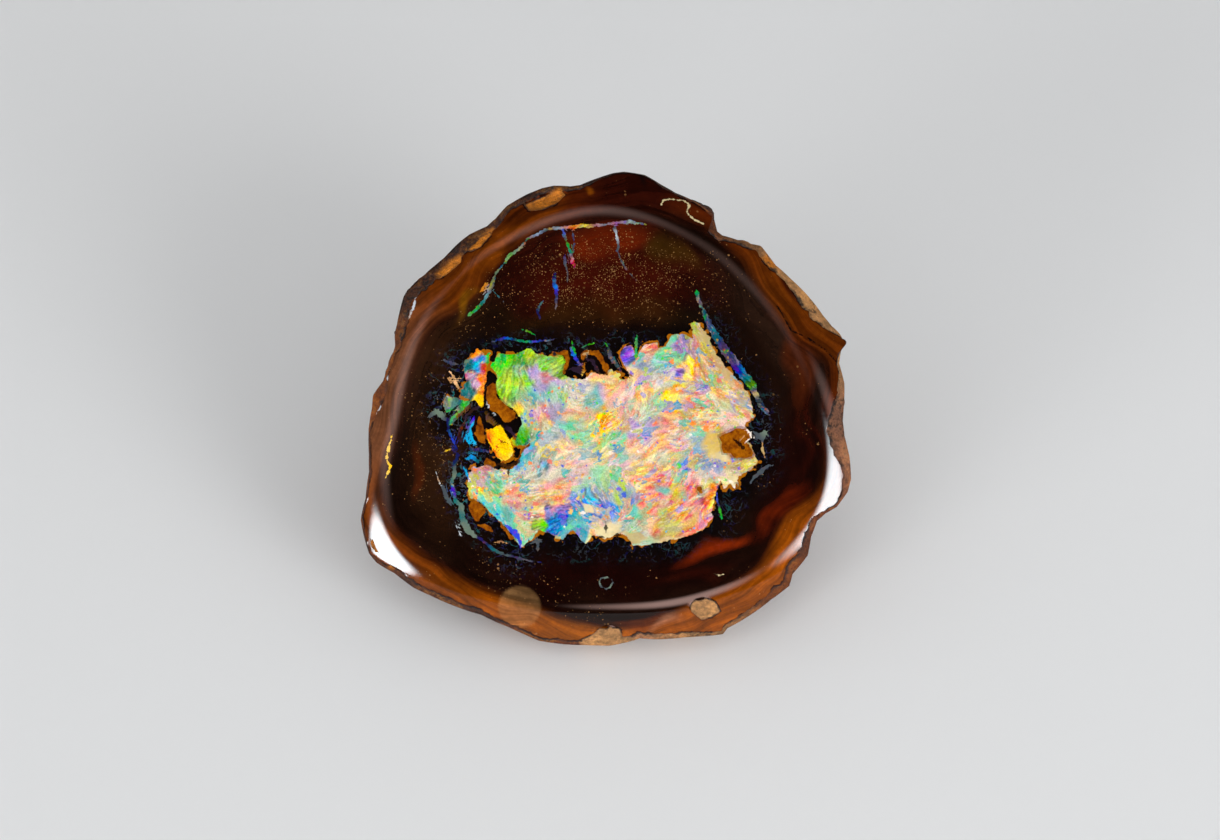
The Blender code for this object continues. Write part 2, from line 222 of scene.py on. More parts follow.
def back_points(bearings, depths):
    """Points of the even back, before its relief."""
    share = np.minimum((depths / BODY_DEPTH) ** BODY_FULLNESS, 1.0)
    corner = around(OUTLINE, bearings)
    round_off = smoothstep(*ROUNDING, depths)
    radii = (corner + (BODY_RADIUS - corner) * round_off) * (1.0 - share) ** (1.0 / BODY_FULLNESS)
    return in_face(bearings, radii, depths)


def skin_relief(points, bearings, depths):
    """Height of lumps, pits, ridges and ledges over the stone's even back."""
    height = SWELL[1] * noise_at(points, SWELL[0])
    height += RIDGE[1] * (0.5 - 2.0 * np.abs(noise_at(points, RIDGE[0])))
    height += GRIT[1] * noise_at(points, GRIT[0])
    for mark_bearing, mark_depth, radius, mark_height in SKIN_MARKS:
        centre = back_points(np.array([mark_bearing]), np.array([mark_depth]))
        reach = np.linalg.norm(points - centre, axis=1) / radius
        height += mark_height * (1.0 - smoothstep(MARK_FLAT, 1.0, reach))
    for ledge_depth, wave, inwards in LEDGES:
        turn = in_face(bearings, np.full_like(bearings, LEDGE_TURN), ledge_depth)
        line = ledge_depth + wave * noise_at(turn, 1.0)
        height -= inwards * smoothstep(line - LEDGE_BLUR, line + LEDGE_BLUR, depths)
    return height


def skin_points(bearings, share):
    """Points of the rough skin, from the widest line (share 0) round to the back's pole (share 1)."""
    start = edge_depth(bearings)
    sweep = math.sin(0.5 * math.pi * share) ** (2.0 / BODY_FULLNESS)
    depths = start + (BODY_DEPTH - start) * sweep
    even = back_points(bearings, depths)
    core = np.array([0.0, 0.0, -CORE_DEPTH])
    outwards = (even - core) / np.linalg.norm(even - core, axis=1, keepdims=True)
    relief = skin_relief(even, bearings, depths) * smoothstep(*RELIEF_STARTS, depths - start)
    points = even + outwards * relief[:, None]
    for break_bearing, lean, distance in BREAKS:
        normal = in_face(break_bearing, math.cos(math.radians(lean)), math.sin(math.radians(lean)))
        beyond = np.maximum((points - core) @ normal - distance, 0.0) * (share > 0.0)
        points -= normal * (beyond * (1.0 - BREAK_SOFTNESS * min(share / BREAK_STARTS, 1.0)))[:, None]
    for size, height in SKIN_GRAIN:
        points += outwards * (height * noise_at(points, size) * min(share * GRAIN_RISE, 1.0))[:, None]
    return points


def ring_count(radius, step):
    """Fewest vertices that a ring of this radius needs for its vertices to be a step apart."""
    return next((count for count in RING_COUNTS if math.tau * radius / count <= step), RING_COUNTS[-1])


def even_bearings(count):
    return np.arange(count) * 360.0 / count


def stone_rings():
    """Rings of points from the face's centre round to the back's pole, with each ring's polish.
    Polish is the distance inside the polish's edge, and negative on the rough skin."""
    rings = []
    middle = float(np.mean(around_smoothly(SHOULDER_LINE, even_bearings(360))))
    for step in range(1, round(middle / FACE_STEP) + 1):
        share = step * FACE_STEP / middle
        bearings = even_bearings(ring_count(share * middle, FACE_STEP))
        radii = around_smoothly(SHOULDER_LINE, bearings) * min(share, 1.0)
        points = in_face(bearings, radii, polished_depth(bearings, radii))
        rings.append((points, polish_radius(bearings) - radii))
    bearings = even_bearings(RING_COUNTS[-1])
    shoulder, edge = around_smoothly(SHOULDER_LINE, bearings), polish_radius(bearings)
    for step in range(1, MARGIN_RINGS + 1):
        radii = shoulder + (edge - shoulder) * step / MARGIN_RINGS
        rings.append((in_face(bearings, radii, polished_depth(bearings, radii)), edge - radii))
    polished, widest = rings[-1][0], skin_points(bearings, 0.0)
    for step in range(1, SKIN_RINGS + 1):
        share = step / SKIN_RINGS
        uneven = LEAST_BULGE + noise_at(polished + share, BULGE_SIZE)
        bulge = EDGE_BULGE * math.sin(math.pi * share) * uneven
        points = polished + (widest - polished) * share
        points[:, 2] += bulge
        rings.append((points, np.full(len(bearings), SKIN_POLISH * share)))
    for step in range(1, BACK_RINGS):
        share = (step / BACK_RINGS) ** RING_CROWDING
        if step > FINE_BACK_RINGS:
            radius = BODY_RADIUS * math.cos(0.5 * math.pi * share) ** (2.0 / BODY_FULLNESS)
            bearings = even_bearings(ring_count(radius, SKIN_STEP))
        rings.append((skin_points(bearings, share), np.full(len(bearings), SKIN_POLISH - share)))
    return rings


def loft(rings):
    """Vertices, polish and triangles of a closed skin. Each ring has as many points as the one before it,
    or twice or half as many."""
    first, last = np.array([[0.0, 0.0, 0.0]]), skin_points(np.array([0.0]), 1.0)
    points = np.concatenate([first] + [ring for ring, _ in rings] + [last])
    polish = np.concatenate([[MIDDLE_POLISH]] + [value for _, value in rings] + [[SKIN_POLISH - 1.0]])
    counts = [len(ring) for ring, _ in rings]
    starts = 1 + np.concatenate([[0], np.cumsum(counts)])
    faces = [(0, 1 + k, 1 + (k + 1) % counts[0]) for k in range(counts[0])]
    for a, na, b, nb in zip(starts, counts, starts[1:], counts[1:]):
        for k in range(min(na, nb)):
            after = (k + 1) % min(na, nb)
            if na == nb:
                faces += [(a + k, b + k, b + after), (a + k, b + after, a + after)]
            elif nb > na:
                low, mid, high = b + 2 * k, b + 2 * k + 1, b + 2 * after
                faces += [(a + k, low, mid), (a + k, mid, a + after), (a + after, mid, high)]
            else:
                low, mid, high = a + 2 * k, a + 2 * k + 1, a + 2 * after
                faces += [(low, b + k, mid), (mid, b + k, b + after), (mid, b + after, high)]
    pole, start, count = len(points) - 1, starts[-2], counts[-1]
    faces += [(start + k, pole, start + (k + 1) % count) for k in range(count)]
    return points, polish, faces


# ---------------------------------------------------------------- colours

PALETTE = {
    # ironstone
    "black": (8, 5, 5), "umber": (20, 8, 4), "dusk": (32, 19, 12), "bark": (44, 24, 10),
    "brick": (50, 9, 3), "wine": (20, 3, 2), "maroon": (38, 8, 3), "ember": (118, 34, 4),
    "russet": (76, 27, 4), "toffee": (94, 42, 5), "caramel": (124, 62, 5), "amber": (130, 62, 4),
    "syrup": (160, 92, 6), "honey": (192, 118, 30), "ochre": (104, 64, 6), "olive": (58, 38, 6),
    "tan": (182, 134, 82), "clay": (140, 94, 68), "slate": (68, 76, 84), "sage": (104, 120, 106),
    # The greyed brown after plum is the margin's brown with a painted sheen of light over it.
    "plum": (42, 28, 44), "brown_and_sheen": (94, 56, 34), "ice": (200, 208, 214), "gilt": (206, 122, 18),
    # opal
    "pearl": (208, 198, 184), "cream": (218, 202, 154), "butter": (206, 172, 84), "sand": (186, 160, 106),
    "blush": (224, 184, 174), "rose": (204, 130, 146), "peach": (240, 190, 138), "salmon": (224, 146, 114),
    "coral": (222, 106, 86), "red": (206, 34, 10), "orange": (244, 122, 22), "gold": (240, 194, 78),
    "sun": (255, 198, 0), "lime": (160, 210, 16), "lemon": (200, 202, 88), "leaf": (72, 200, 16),
    "green": (12, 160, 26), "dew": (168, 204, 170), "mint": (118, 200, 158), "aqua": (84, 174, 172),
    "teal": (20, 102, 106), "cyan": (16, 168, 222), "sky": (86, 142, 208), "blue": (24, 68, 200),
    "ink": (28, 10, 210), "navy": (18, 22, 82), "fog": (138, 156, 176), "iris": (76, 72, 118),
    "violet": (112, 76, 206), "lilac": (176, 150, 198), "milk": (240, 226, 214),
}
# How little other colours break into these.
VIVID = {
    "sun": 1.0, "red": 1.0, "orange": 0.95, "lime": 0.8, "leaf": 0.84, "green": 0.85, "cyan": 0.85,
    "blue": 0.68, "ink": 1.0, "navy": 1.0, "teal": 0.8, "violet": 0.65,
}


def linear(name):
    """Scene-linear colour of a name in the palette."""
    share = np.array(PALETTE[name]) / 255.0
    return np.where(share > 0.04045, ((share + 0.055) / 1.055) ** 2.4, share / 12.92)


def colour(name):
    return (*linear(name), 1.0)


# ---------------------------------------------------------------- markings of the polished face

OPAL_PATCH = [
    (-9.33, 3.45), (-9.0, 3.9), (-8.71, 4.45), (-7.58, 4.31), (-6.16, 4.88), (-5.45, 4.38), (-4.31, 4.17),
    (-3.8, 4.4), (-3.4, 4.33), (-3.2, 3.83), (-3.36, 3.4), (-3.46, 2.75), (-2.61, 2.46), (-1.9, 2.32),
    (-1.05, 2.89), (0.12, 2.7), (0.83, 2.4), (2.1, 2.39), (1.54, 3.46), (1.11, 4.31), (1.68, 5.16),
    (2.17, 5.16), (2.46, 4.03), (2.88, 4.88), (3.24, 5.23), (4.16, 5.37), (4.23, 4.88), (4.94, 5.09),
    (5.23, 5.73), (5.79, 6.08), (6.5, 5.94), (7.14, 5.59), (6.93, 7.0), (7.5, 7.0), (8.06, 6.29),
    (8.49, 5.66), (8.63, 5.09), (8.92, 4.52), (9.48, 3.74), (10.05, 3.03), (10.76, 2.32), (11.33, 1.61),
    (11.76, 0.9), (11.9, 0.27), (12.04, -0.72), (11.33, -1.15), (11.6, -2.6), (12.39, -4.34),
    (12.04, -4.77), (11.61, -5.12), (10.9, -5.41), (10.69, -5.83), (10.9, -6.33), (10.48, -6.47),
    (10.05, -6.12), (9.7, -6.54), (9.34, -5.83), (9.13, -6.4), (8.92, -7.11), (8.77, -7.82), (8.56, -8.53),
    (8.85, -8.74), (8.42, -9.24), (7.92, -9.88), (7.21, -10.16), (6.36, -10.44), (5.23, -10.73),
    (3.81, -11.01), (2.25, -11.15), (1.82, -10.51), (1.25, -10.09), (0.0, -10.6), (-0.91, -10.23),
    (-1.33, -10.66), (-1.62, -11.08), (-2.04, -10.52), (-2.61, -9.81), (-3.18, -10.23), (-3.46, -10.66),
    (-4.03, -10.52), (-4.46, -10.09), (-5.45, -9.88), (-5.88, -10.52), (-6.3, -10.8), (-6.87, -11.37),
    (-7.44, -10.52), (-8.15, -9.58), (-9.42, -8.4), (-9.99, -7.75), (-10.99, -7.25), (-11.2, -6.4),
    (-11.13, -5.41), (-10.84, -4.8), (-9.57, -4.6), (-8.71, -5.0), (-7.7, -4.95), (-7.2, -4.6),
    (-6.95, -4.0), (-6.75, -3.45), (-6.08, -2.95), (-6.4, -1.9), (-6.8, -0.9), (-7.1, -0.45),
    (-7.45, -0.05), (-8.1, 0.3), (-8.65, 0.85), (-8.9, 1.7), (-8.8, 2.5), (-8.95, 3.0),
]
YELLOW_GEM = [
    (-9.69, -1.83), (-9.11, -1.54), (-8.52, -1.32), (-8.16, -1.83), (-7.79, -2.49), (-7.5, -3.44),
    (-7.79, -4.1), (-8.38, -4.28), (-8.81, -4.02), (-9.25, -3.29), (-9.55, -2.49),
]
GREEN_FLAME = [
    (-6.69, -0.95), (-6.18, -2.34), (-6.11, -2.85), (-6.62, -3.0), (-7.57, -3.0), (-7.79, -2.2),
    (-7.35, -2.56), (-7.06, -1.83), (-6.91, -1.46),
]
FLAME_STRIP = [
    (-11.5, 3.9), (-11.0, 4.05), (-10.42, 4.89), (-9.84, 4.38), (-9.4, 4.49), (-9.62, 3.21), (-9.69, 2.34),
    (-9.91, 1.31), (-9.88, 0.14), (-10.13, 0.07), (-10.57, 0.65), (-10.86, 0.58), (-11.88, 1.17),
    (-11.3, 2.2), (-11.45, 3.0),
]
GREEN_BLADE = [
    (-12.98, 1.02), (-12.03, 0.87), (-11.45, 0.62), (-10.86, 0.66), (-11.3, 0.1), (-11.62, -0.3),
    (-12.18, -0.95), (-12.69, -1.4), (-12.6, -0.85), (-11.95, -0.2), (-12.3, -0.12), (-12.91, -0.37),
    (-13.2, 0.22),
]
LEMON_LOBE = [(0.15, 3.08), (0.40, 3.23), (1.28, 2.70), (0.90, 2.40), (0.28, 2.55)]
OPAL_AREAS = [OPAL_PATCH, YELLOW_GEM, GREEN_FLAME, FLAME_STRIP, GREEN_BLADE, LEMON_LOBE]

CARAMEL_AREAS = [
    # in the bay of the opal's right edge
    [(9.24, -2.25), (10.06, -1.93), (10.7, -1.62), (11.56, -1.62), (11.87, -2.37), (11.5, -2.75),
     (12.0, -3.56), (11.9, -3.94), (10.9, -4.05), (10.4, -4.0), (10.2, -3.69), (9.49, -3.56), (9.49, -3.06)],
    # in the left end of the opal
    [(-9.11, 2.12), (-9.62, 1.75), (-9.69, 0.87), (-9.4, -0.1), (-8.81, -0.42), (-8.1, -1.2), (-7.5, -0.88),
     (-7.28, -0.37), (-8.08, 0.22), (-8.78, 0.87), (-8.96, 1.75)],
    [(-10.28, -0.51), (-9.98, -1.25), (-9.69, -3.0), (-10.28, -2.71), (-10.64, -2.05), (-10.42, -1.25)],
    [(-9.7, -3.95), (-9.4, -4.1), (-8.75, -4.6), (-8.95, -4.75), (-9.7, -4.4)],
    # along the lower left edge
    [(-10.98, -7.61), (-10.57, -7.48), (-10.02, -7.88), (-9.62, -8.5), (-10.02, -8.65), (-10.3, -9.24),
     (-10.7, -9.11), (-11.1, -8.22)],
    [(-10.36, -9.45), (-9.75, -9.38), (-9.14, -9.79), (-9.14, -10.12), (-9.8, -9.85)],
    [(-8.6, -9.45), (-8.2, -9.62), (-7.38, -10.6), (-7.72, -10.67)],
    # lobes of the upper edge
    [(-4.36, 4.62), (-3.67, 4.52), (-3.3, 4.75), (-3.02, 4.65), (-2.9, 3.89), (-3.08, 3.4), (-3.3, 2.9),
     (-3.66, 2.55), (-3.42, 3.1), (-3.34, 3.5), (-3.18, 3.83), (-3.45, 4.3), (-3.8, 4.38)],
    [(-2.04, 4.45), (-1.6, 4.8), (-1.04, 4.68), (-0.54, 4.73), (-0.3, 4.33), (0.02, 3.75), (0.34, 3.27),
     (0.09, 2.83), (-0.16, 3.2), (-0.5, 3.85), (-0.85, 4.3), (-1.35, 4.38), (-1.6, 4.18), (-1.73, 3.89),
     (-1.98, 4.05)],
    # small ones
    [(7.42, -6.4), (7.84, -6.38), (7.92, -6.88), (7.68, -6.92)],
    [(10.6, -6.1), (10.82, -6.25), (10.7, -6.45), (10.5, -6.4)],
]

# Flakes broken out of the polished margin, where the rough inside shows.
CHIPS = [
    [(-6.66, 16.62), (-5.14, 17.32), (-3.75, 17.93), (-3.25, 17.45), (-4.03, 16.62), (-5.14, 16.21),
     (-6.25, 16.07)],
    [(-11.37, 12.88), (-10.13, 13.99), (-9.16, 14.68), (-9.3, 14.13), (-10.13, 13.16), (-10.96, 12.74)],
    [(-13.73, 10.94), (-12.62, 12.05), (-11.65, 12.6), (-11.79, 11.91), (-12.9, 10.94), (-13.59, 10.52)],
    [(12.7, 12.3), (13.3, 12.5), (14.0, 11.6), (13.4, 11.4)],
    [(-19.3, -10.55), (-19.0, -10.7), (-18.75, -11.3), (-18.5, -11.75), (-18.8, -11.7), (-19.1, -11.3)],
    [(-17.7, -12.7), (-17.4, -12.75), (-17.35, -13.05), (-17.6, -13.0)],
]

# Crusts of clay on the polished margin.
CRUSTS = [
    [(6.85, -16.05), (7.2, -15.6), (7.65, -15.62), (8.15, -15.42), (8.95, -15.75), (9.41, -16.49),
     (9.18, -16.75), (8.58, -17.08), (7.87, -17.26), (7.51, -16.96), (7.04, -16.6)],
    [(-1.98, -18.86), (-1.03, -18.44), (-0.5, -17.95), (0.1, -17.98), (0.4, -17.75), (1.25, -18.0),
     (1.4, -18.68), (2.53, -18.86), (1.82, -19.33), (0.51, -19.63), (-0.56, -19.51), (-1.98, -19.45)],
]
CHIP_EDGE = (-0.25, 0.15)           # distances inside a chip or crust between which its colour comes in

# Where the caramel margin begins: bearing, radius.
BAND_LINE = [
    (0.0, 17.9), (6.0, 18.3), (11.0, 18.6), (15.0, 17.9), (20.0, 16.5), (27.0, 15.8), (33.0, 15.7),
    (42.0, 16.1), (50.0, 16.4), (60.0, 16.8), (75.0, 16.6), (88.0, 15.9), (95.0, 15.3), (110.0, 15.2),
    (120.0, 15.0), (130.0, 14.6), (138.0, 14.1), (147.0, 14.6), (155.0, 15.8), (165.0, 16.2), (175.0, 16.6),
    (185.0, 17.1), (193.0, 18.2), (200.0, 19.6), (205.0, 19.9), (210.0, 19.8), (220.0, 19.0), (228.0, 18.3),
    (240.0, 17.6), (250.0, 17.2), (260.0, 17.5), (270.0, 17.8), (285.0, 17.6), (300.0, 17.5), (310.0, 18.0),
    (315.0, 18.0), (320.0, 17.6), (325.0, 17.3), (330.0, 17.2), (334.0, 17.7), (340.0, 18.6), (350.0, 18.3),
]
BAND_BLUR = (-0.5, 0.9)             # distances from that line between which its colour comes in
# Colours of that margin, and of the skin next to it: bearing, colour. On the left the margin's brown is
# greyed by a painted sheen.
BAND_TONES = [
    (0.0, "russet"), (20.0, "toffee"), (38.0, "toffee"), (60.0, "russet"), (76.0, "maroon"),
    (90.0, "maroon"), (104.0, "russet"), (125.0, "toffee"), (145.0, "toffee"), (165.0, "brown_and_sheen"),
    (190.0, "brown_and_sheen"), (204.0, "toffee"), (220.0, "toffee"), (238.0, "amber"), (262.0, "caramel"),
    (285.0, "amber"), (325.0, "amber"), (340.0, "toffee"), (350.0, "russet"),
]
SKIN_TONES = [
    (0.0, "clay"), (12.0, "tan"), (35.0, "tan"), (60.0, "toffee"), (88.0, "bark"), (100.0, "umber"),
    (118.0, "dusk"), (140.0, "umber"), (152.0, "bark"), (170.0, "caramel"), (200.0, "toffee"),
    (230.0, "bark"), (262.0, "toffee"), (275.0, "clay"), (292.0, "tan"), (310.0, "caramel"),
    (335.0, "toffee"), (346.0, "clay"),
]
EDGE_LINE = (0.9, 0.35)             # reach inside the band's line, and strength, of its maroon shadow

# Soft spots of colour in the ironstone, painted in this order: u, v, half length, half width, turn, colour,
# strength.
UNDER_BLACK = 9                     # of them lie under the black that rings the opal, the rest over it
RING_REACH, RING_STRENGTH = (-2.6, -0.4), 0.92      # of that black: distances inside the opal
SPOT_DRIFT = (3.0, 1.6, (3.0, 17.0))            # size, reach and seeds of the noise that bends the spots
SPOT_FADE = (0.2, 1.35)             # shares of a spot's half length and width between which it fades
GROUND_SPOTS = [
    (-13.6, -2.0, 8.0, 3.4, 92.0, "bark", 0.75), (-12.0, 6.0, 5.0, 2.6, 50.0, "bark", 0.5),
    (13.6, 7.2, 8.5, 2.2, 125.0, "dusk", 0.7), (0.0, -13.6, 12.0, 2.6, 0.0, "wine", 0.9),
    (14.8, -6.0, 8.0, 2.6, 75.0, "wine", 0.85), (-0.4, 10.7, 9.6, 3.8, 0.0, "brick", 0.95),
    (0.0, 13.7, 4.6, 1.2, 2.0, "ember", 0.4), (-6.0, 12.2, 3.4, 1.0, 40.0, "maroon", 0.6),
    (5.2, 12.4, 2.0, 1.3, -20.0, "olive", 0.6), (-0.5, 7.6, 8.0, 1.2, 4.0, "olive", 0.22),
    (8.7, -11.6, 3.4, 0.8, 29.0, "ember", 0.85), (7.2, -14.2, 3.0, 0.5, 10.0, "maroon", 0.9),
    (12.6, -9.6, 2.6, 0.6, 44.0, "maroon", 0.9), (14.2, -8.2, 2.4, 0.6, 42.0, "ember", 0.4),
    (15.8, -3.6, 3.4, 0.5, 82.0, "maroon", 0.7), (-11.3, 8.3, 1.7, 0.6, 42.0, "ochre", 0.9),
    (15.6, 9.9, 2.6, 0.9, 122.0, "maroon", 0.9), (-15.4, -4.8, 3.0, 0.7, 100.0, "russet", 0.5),
    (-15.7, 10.6, 1.2, 0.6, 52.0, "black", 0.8), (3.4, 18.1, 0.55, 0.3, 80.0, "black", 0.9),
    (-1.0, 18.1, 0.4, 0.25, 60.0, "caramel", 0.9), (17.2, -1.6, 3.0, 0.4, 92.0, "maroon", 0.9),
    (2.9, -17.4, 2.4, 0.4, 3.0, "russet", 0.8), (14.5, 11.6, 1.0, 0.45, 130.0, "tan", 0.6),
    (-7.7, 13.7, 4.6, 0.55, 37.0, "amber", 0.7), (-9.6, 14.0, 5.0, 0.5, 40.0, "maroon", 0.6),
    (15.9, 3.2, 4.6, 1.1, 98.0, "russet", 0.5), (4.7, -17.5, 1.2, 0.32, 15.0, "clay", 0.55),
    (7.2, -16.4, 1.1, 0.7, 70.0, "umber", 0.7), (0.2, -17.7, 1.7, 0.35, 2.0, "umber", 0.7),
]

# Where the ironstone is speckled with sand: u, v, half length, half width, turn, strength.
SANDY_SPOTS = [
    (0.4, 10.6, 8.5, 3.6, 0.0, 1.0), (-13.8, -3.0, 6.0, 3.2, 90.0, 0.3), (-9.0, 8.5, 4.0, 2.0, 45.0, 0.25),
    (-6.0, -14.5, 7.0, 1.8, -25.0, 0.18),
]

# Where thin grey and blue wisps of opal run through the ironstone.
WISPY_SPOTS = [
    (-12.4, 0.6, 4.4, 2.6, 90.0, 1.0), (-11.0, -7.0, 5.0, 2.6, 100.0, 1.0),
    (-9.0, -11.5, 4.5, 1.6, -30.0, 0.9), (-3.0, 5.2, 7.5, 1.2, 2.0, 0.7), (11.5, 4.0, 7.0, 1.5, 122.0, 0.3),
    (12.9, -2.5, 4.2, 1.8, 95.0, 0.6), (0.0, -11.4, 9.0, 1.3, 0.0, 0.4), (10.3, -8.6, 2.6, 1.4, 70.0, 0.5),
]

# Colours of the opal, each the strongest at its own places: u, v, radius.
OPAL_ZONES = {
    "leaf": [(-8.4, 3.6, 0.9), (-5.3, -9.3, 0.4)],
    "lime": [(-7.7, 2.4, 0.9), (-7.9, 1.2, 0.8), (-6.2, 4.4, 0.7), (-4.6, 4.0, 0.7), (-3.7, 3.5, 0.5),
             (-6.4, 2.1, 0.7)],
    "sun": [(-7.1, 0.2, 0.5), (-10.2, 0.7, 0.35), (-8.5, -3.0, 1.0)],
    "green": [(-7.2, 4.1, 0.8), (-11.4, 0.3, 0.3), (-12.4, -0.7, 0.4), (-6.7, -2.3, 0.9)],
    "lilac": [(-5.7, 3.2, 0.7), (-5.3, 1.9, 0.8), (-4.4, 0.3, 0.45), (-3.9, 1.9, 0.5), (-0.4, 1.6, 0.5),
              (2.6, -1.9, 0.9), (7.5, 1.7, 0.7)],
    "rose": [(-4.7, 2.8, 0.6), (-5.0, -0.3, 0.9), (-9.9, -5.1, 0.7), (-10.6, 1.9, 0.3)],
    "aqua": [(-6.8, 0.9, 0.8), (-5.8, 0.8, 0.8), (-4.9, 1.3, 0.6), (-3.4, 0.6, 0.45), (-5.2, -1.9, 0.9),
             (-5.2, -3.4, 1.0), (-6.3, -4.2, 0.8), (-8.2, -8.6, 0.8), (-2.5, -9.2, 0.7), (-1.0, 0.9, 0.8),
             (1.8, -8.6, 0.7), (4.5, -6.5, 0.5)],
    "dew": [(-7.2, 3.0, 0.4), (-4.2, 1.0, 0.9), (-0.8, -5.2, 1.0), (3.7, -0.2, 0.9), (7.4, -2.5, 0.8),
            (2.6, -10.3, 0.9)],
    "lemon": [(-8.0, 0.4, 0.4), (-10.3, -6.3, 0.7), (1.2, -6.9, 0.7), (5.5, -6.7, 0.5), (4.6, -8.4, 0.4),
              (0.6, 2.8, 0.5)],
    "mint": [(-4.5, -1.1, 0.6), (-6.0, -1.0, 0.7), (-8.4, -5.8, 1.0), (-9.1, -7.2, 0.9), (-6.6, -9.2, 0.8),
             (-2.7, -1.8, 1.2), (0.7, -2.9, 0.9), (4.8, 4.0, 0.9), (6.4, -7.2, 0.4)],
    "fog": [(-3.9, -0.5, 0.8), (0.1, -6.7, 0.9), (3.1, 3.5, 0.9), (8.6, -4.9, 0.7)],
    "blush": [(-3.0, -0.3, 0.6), (-2.4, -4.7, 1.0), (-1.9, 0.1, 0.8), (1.6, 0.6, 1.1), (1.0, -4.6, 1.1),
              (10.1, -0.9, 0.9), (5.9, -2.7, 1.1), (7.6, -5.6, 0.8)],
    "cyan": [(-5.4, -4.8, 0.45), (-1.2, -7.4, 0.6), (-10.5, 3.3, 0.35)],
    "peach": [(-3.4, -3.5, 1.1), (-5.2, -7.8, 0.8), (0.4, 2.1, 1.2), (2.9, 1.2, 0.8), (-0.9, -3.6, 1.0),
              (2.4, -3.8, 0.9), (3.0, -5.4, 1.0), (2.3, 2.9, 0.6), (9.6, 0.8, 1.2), (8.2, -1.0, 1.0),
              (4.4, -3.6, 1.1)],
    "pearl": [(-3.8, -5.2, 0.9), (-6.0, -6.0, 1.2), (-2.5, 1.6, 1.0), (4.6, 2.4, 1.0)],
    "salmon": [(-4.3, -6.5, 1.0), (-7.2, -7.3, 1.1), (3.5, 4.6, 0.5), (7.6, 0.4, 1.0), (4.8, -1.2, 1.0),
               (5.0, -5.4, 0.9), (7.0, -6.7, 0.9), (5.9, -8.0, 0.9), (7.4, -8.4, 0.8), (3.6, -7.4, 1.0),
               (3.6, -9.1, 0.8), (6.9, -9.7, 0.8)],
    "blue": [(-3.8, -8.7, 0.65)],
    "sky": [(-2.2, -7.2, 0.8), (0.5, -8.6, 0.9), (6.1, -4.8, 0.7), (-10.2, 4.0, 0.3)],
    "gold": [(-0.4, -1.2, 1.2), (7.2, 3.3, 1.0), (5.8, 0.7, 1.1)],
    "sand": [(1.4, -1.6, 0.7), (8.4, 4.2, 1.0), (9.2, 2.8, 1.2), (11.0, 0.3, 0.9), (6.3, -1.1, 0.9),
             (7.4, -4.2, 0.8), (10.2, -4.7, 1.1), (5.2, -9.6, 0.9)],
    "violet": [(1.7, 4.4, 0.5), (5.9, 2.5, 0.45)],
    "iris": [(6.1, 4.6, 0.6)],
    "butter": [(8.8, -2.8, 0.9)],
    "cream": [(9.9, -5.8, 0.6), (0.6, -9.9, 0.8)],
    "orange": [(8.5, -6.7, 0.4), (-10.5, 4.5, 0.3), (-10.0, 2.5, 0.35), (-9.9, 1.5, 0.35),
               (-9.4, -2.3, 0.35)],
    "teal": [(-11.2, 3.5, 0.4), (-11.2, 1.5, 0.5), (-12.1, 0.4, 0.35)],
    "coral": [(-10.9, 2.7, 0.35)],
    "red": [(-9.9, 3.3, 0.3), (-9.1, -3.6, 0.3)],
    "sage": [(-12.7, 0.5, 0.4)],
}
# Where the opal is plain milky potch: u, v, half length, half width, turn, colour, strength.
POTCH_SPOTS = [
    (8.7, -2.9, 1.5, 1.0, 100.0, "butter", 0.95), (9.3, -3.9, 1.2, 0.5, 0.0, "cream", 0.8),
    (0.3, -10.0, 1.3, 0.9, 10.0, "cream", 0.9), (2.6, -10.5, 1.6, 0.6, -10.0, "sand", 0.8),
    (7.9, 5.9, 1.0, 0.7, 120.0, "sand", 0.7), (9.6, 3.4, 2.6, 0.6, 122.0, "sand", 0.6),
    (11.2, 0.8, 1.2, 0.5, 110.0, "sand", 0.6), (10.3, -5.9, 0.8, 0.5, 0.0, "cream", 0.9),
    (-1.6, -8.1, 0.75, 0.26, 138.0, "cream", 1.0), (-1.3, -8.5, 0.5, 0.2, 128.0, "cream", 0.9),
    (0.9, 2.75, 0.7, 0.3, -25.0, "lemon", 0.7), (5.4, -10.5, 2.4, 0.35, 8.0, "cream", 0.6),
]
POTCH_DRIFT = (0.8, 0.5, (31.0, 43.0))          # size, reach and seeds of the noise that bends these
# At the left end the zones keep their places; elsewhere they drift: u, v, half length, half width, turn.
STEADY_SPOT = (-9.6, 0.2, 8.0, 4.2, 90.0)
ZONE_DRIFT, ZONE_SEEDS = [(2.2, 0.5), (0.7, 0.6)], (9.0, 27.0)      # sizes and reaches, and their seeds

# Paler discs in the ironstone, like bubbles: u, v, radius, colour, strength.
DISCS = [(-7.0, -16.2, 1.85, "tan", 0.22)]
DISC_EDGE = 0.25                    # width of a disc's edge

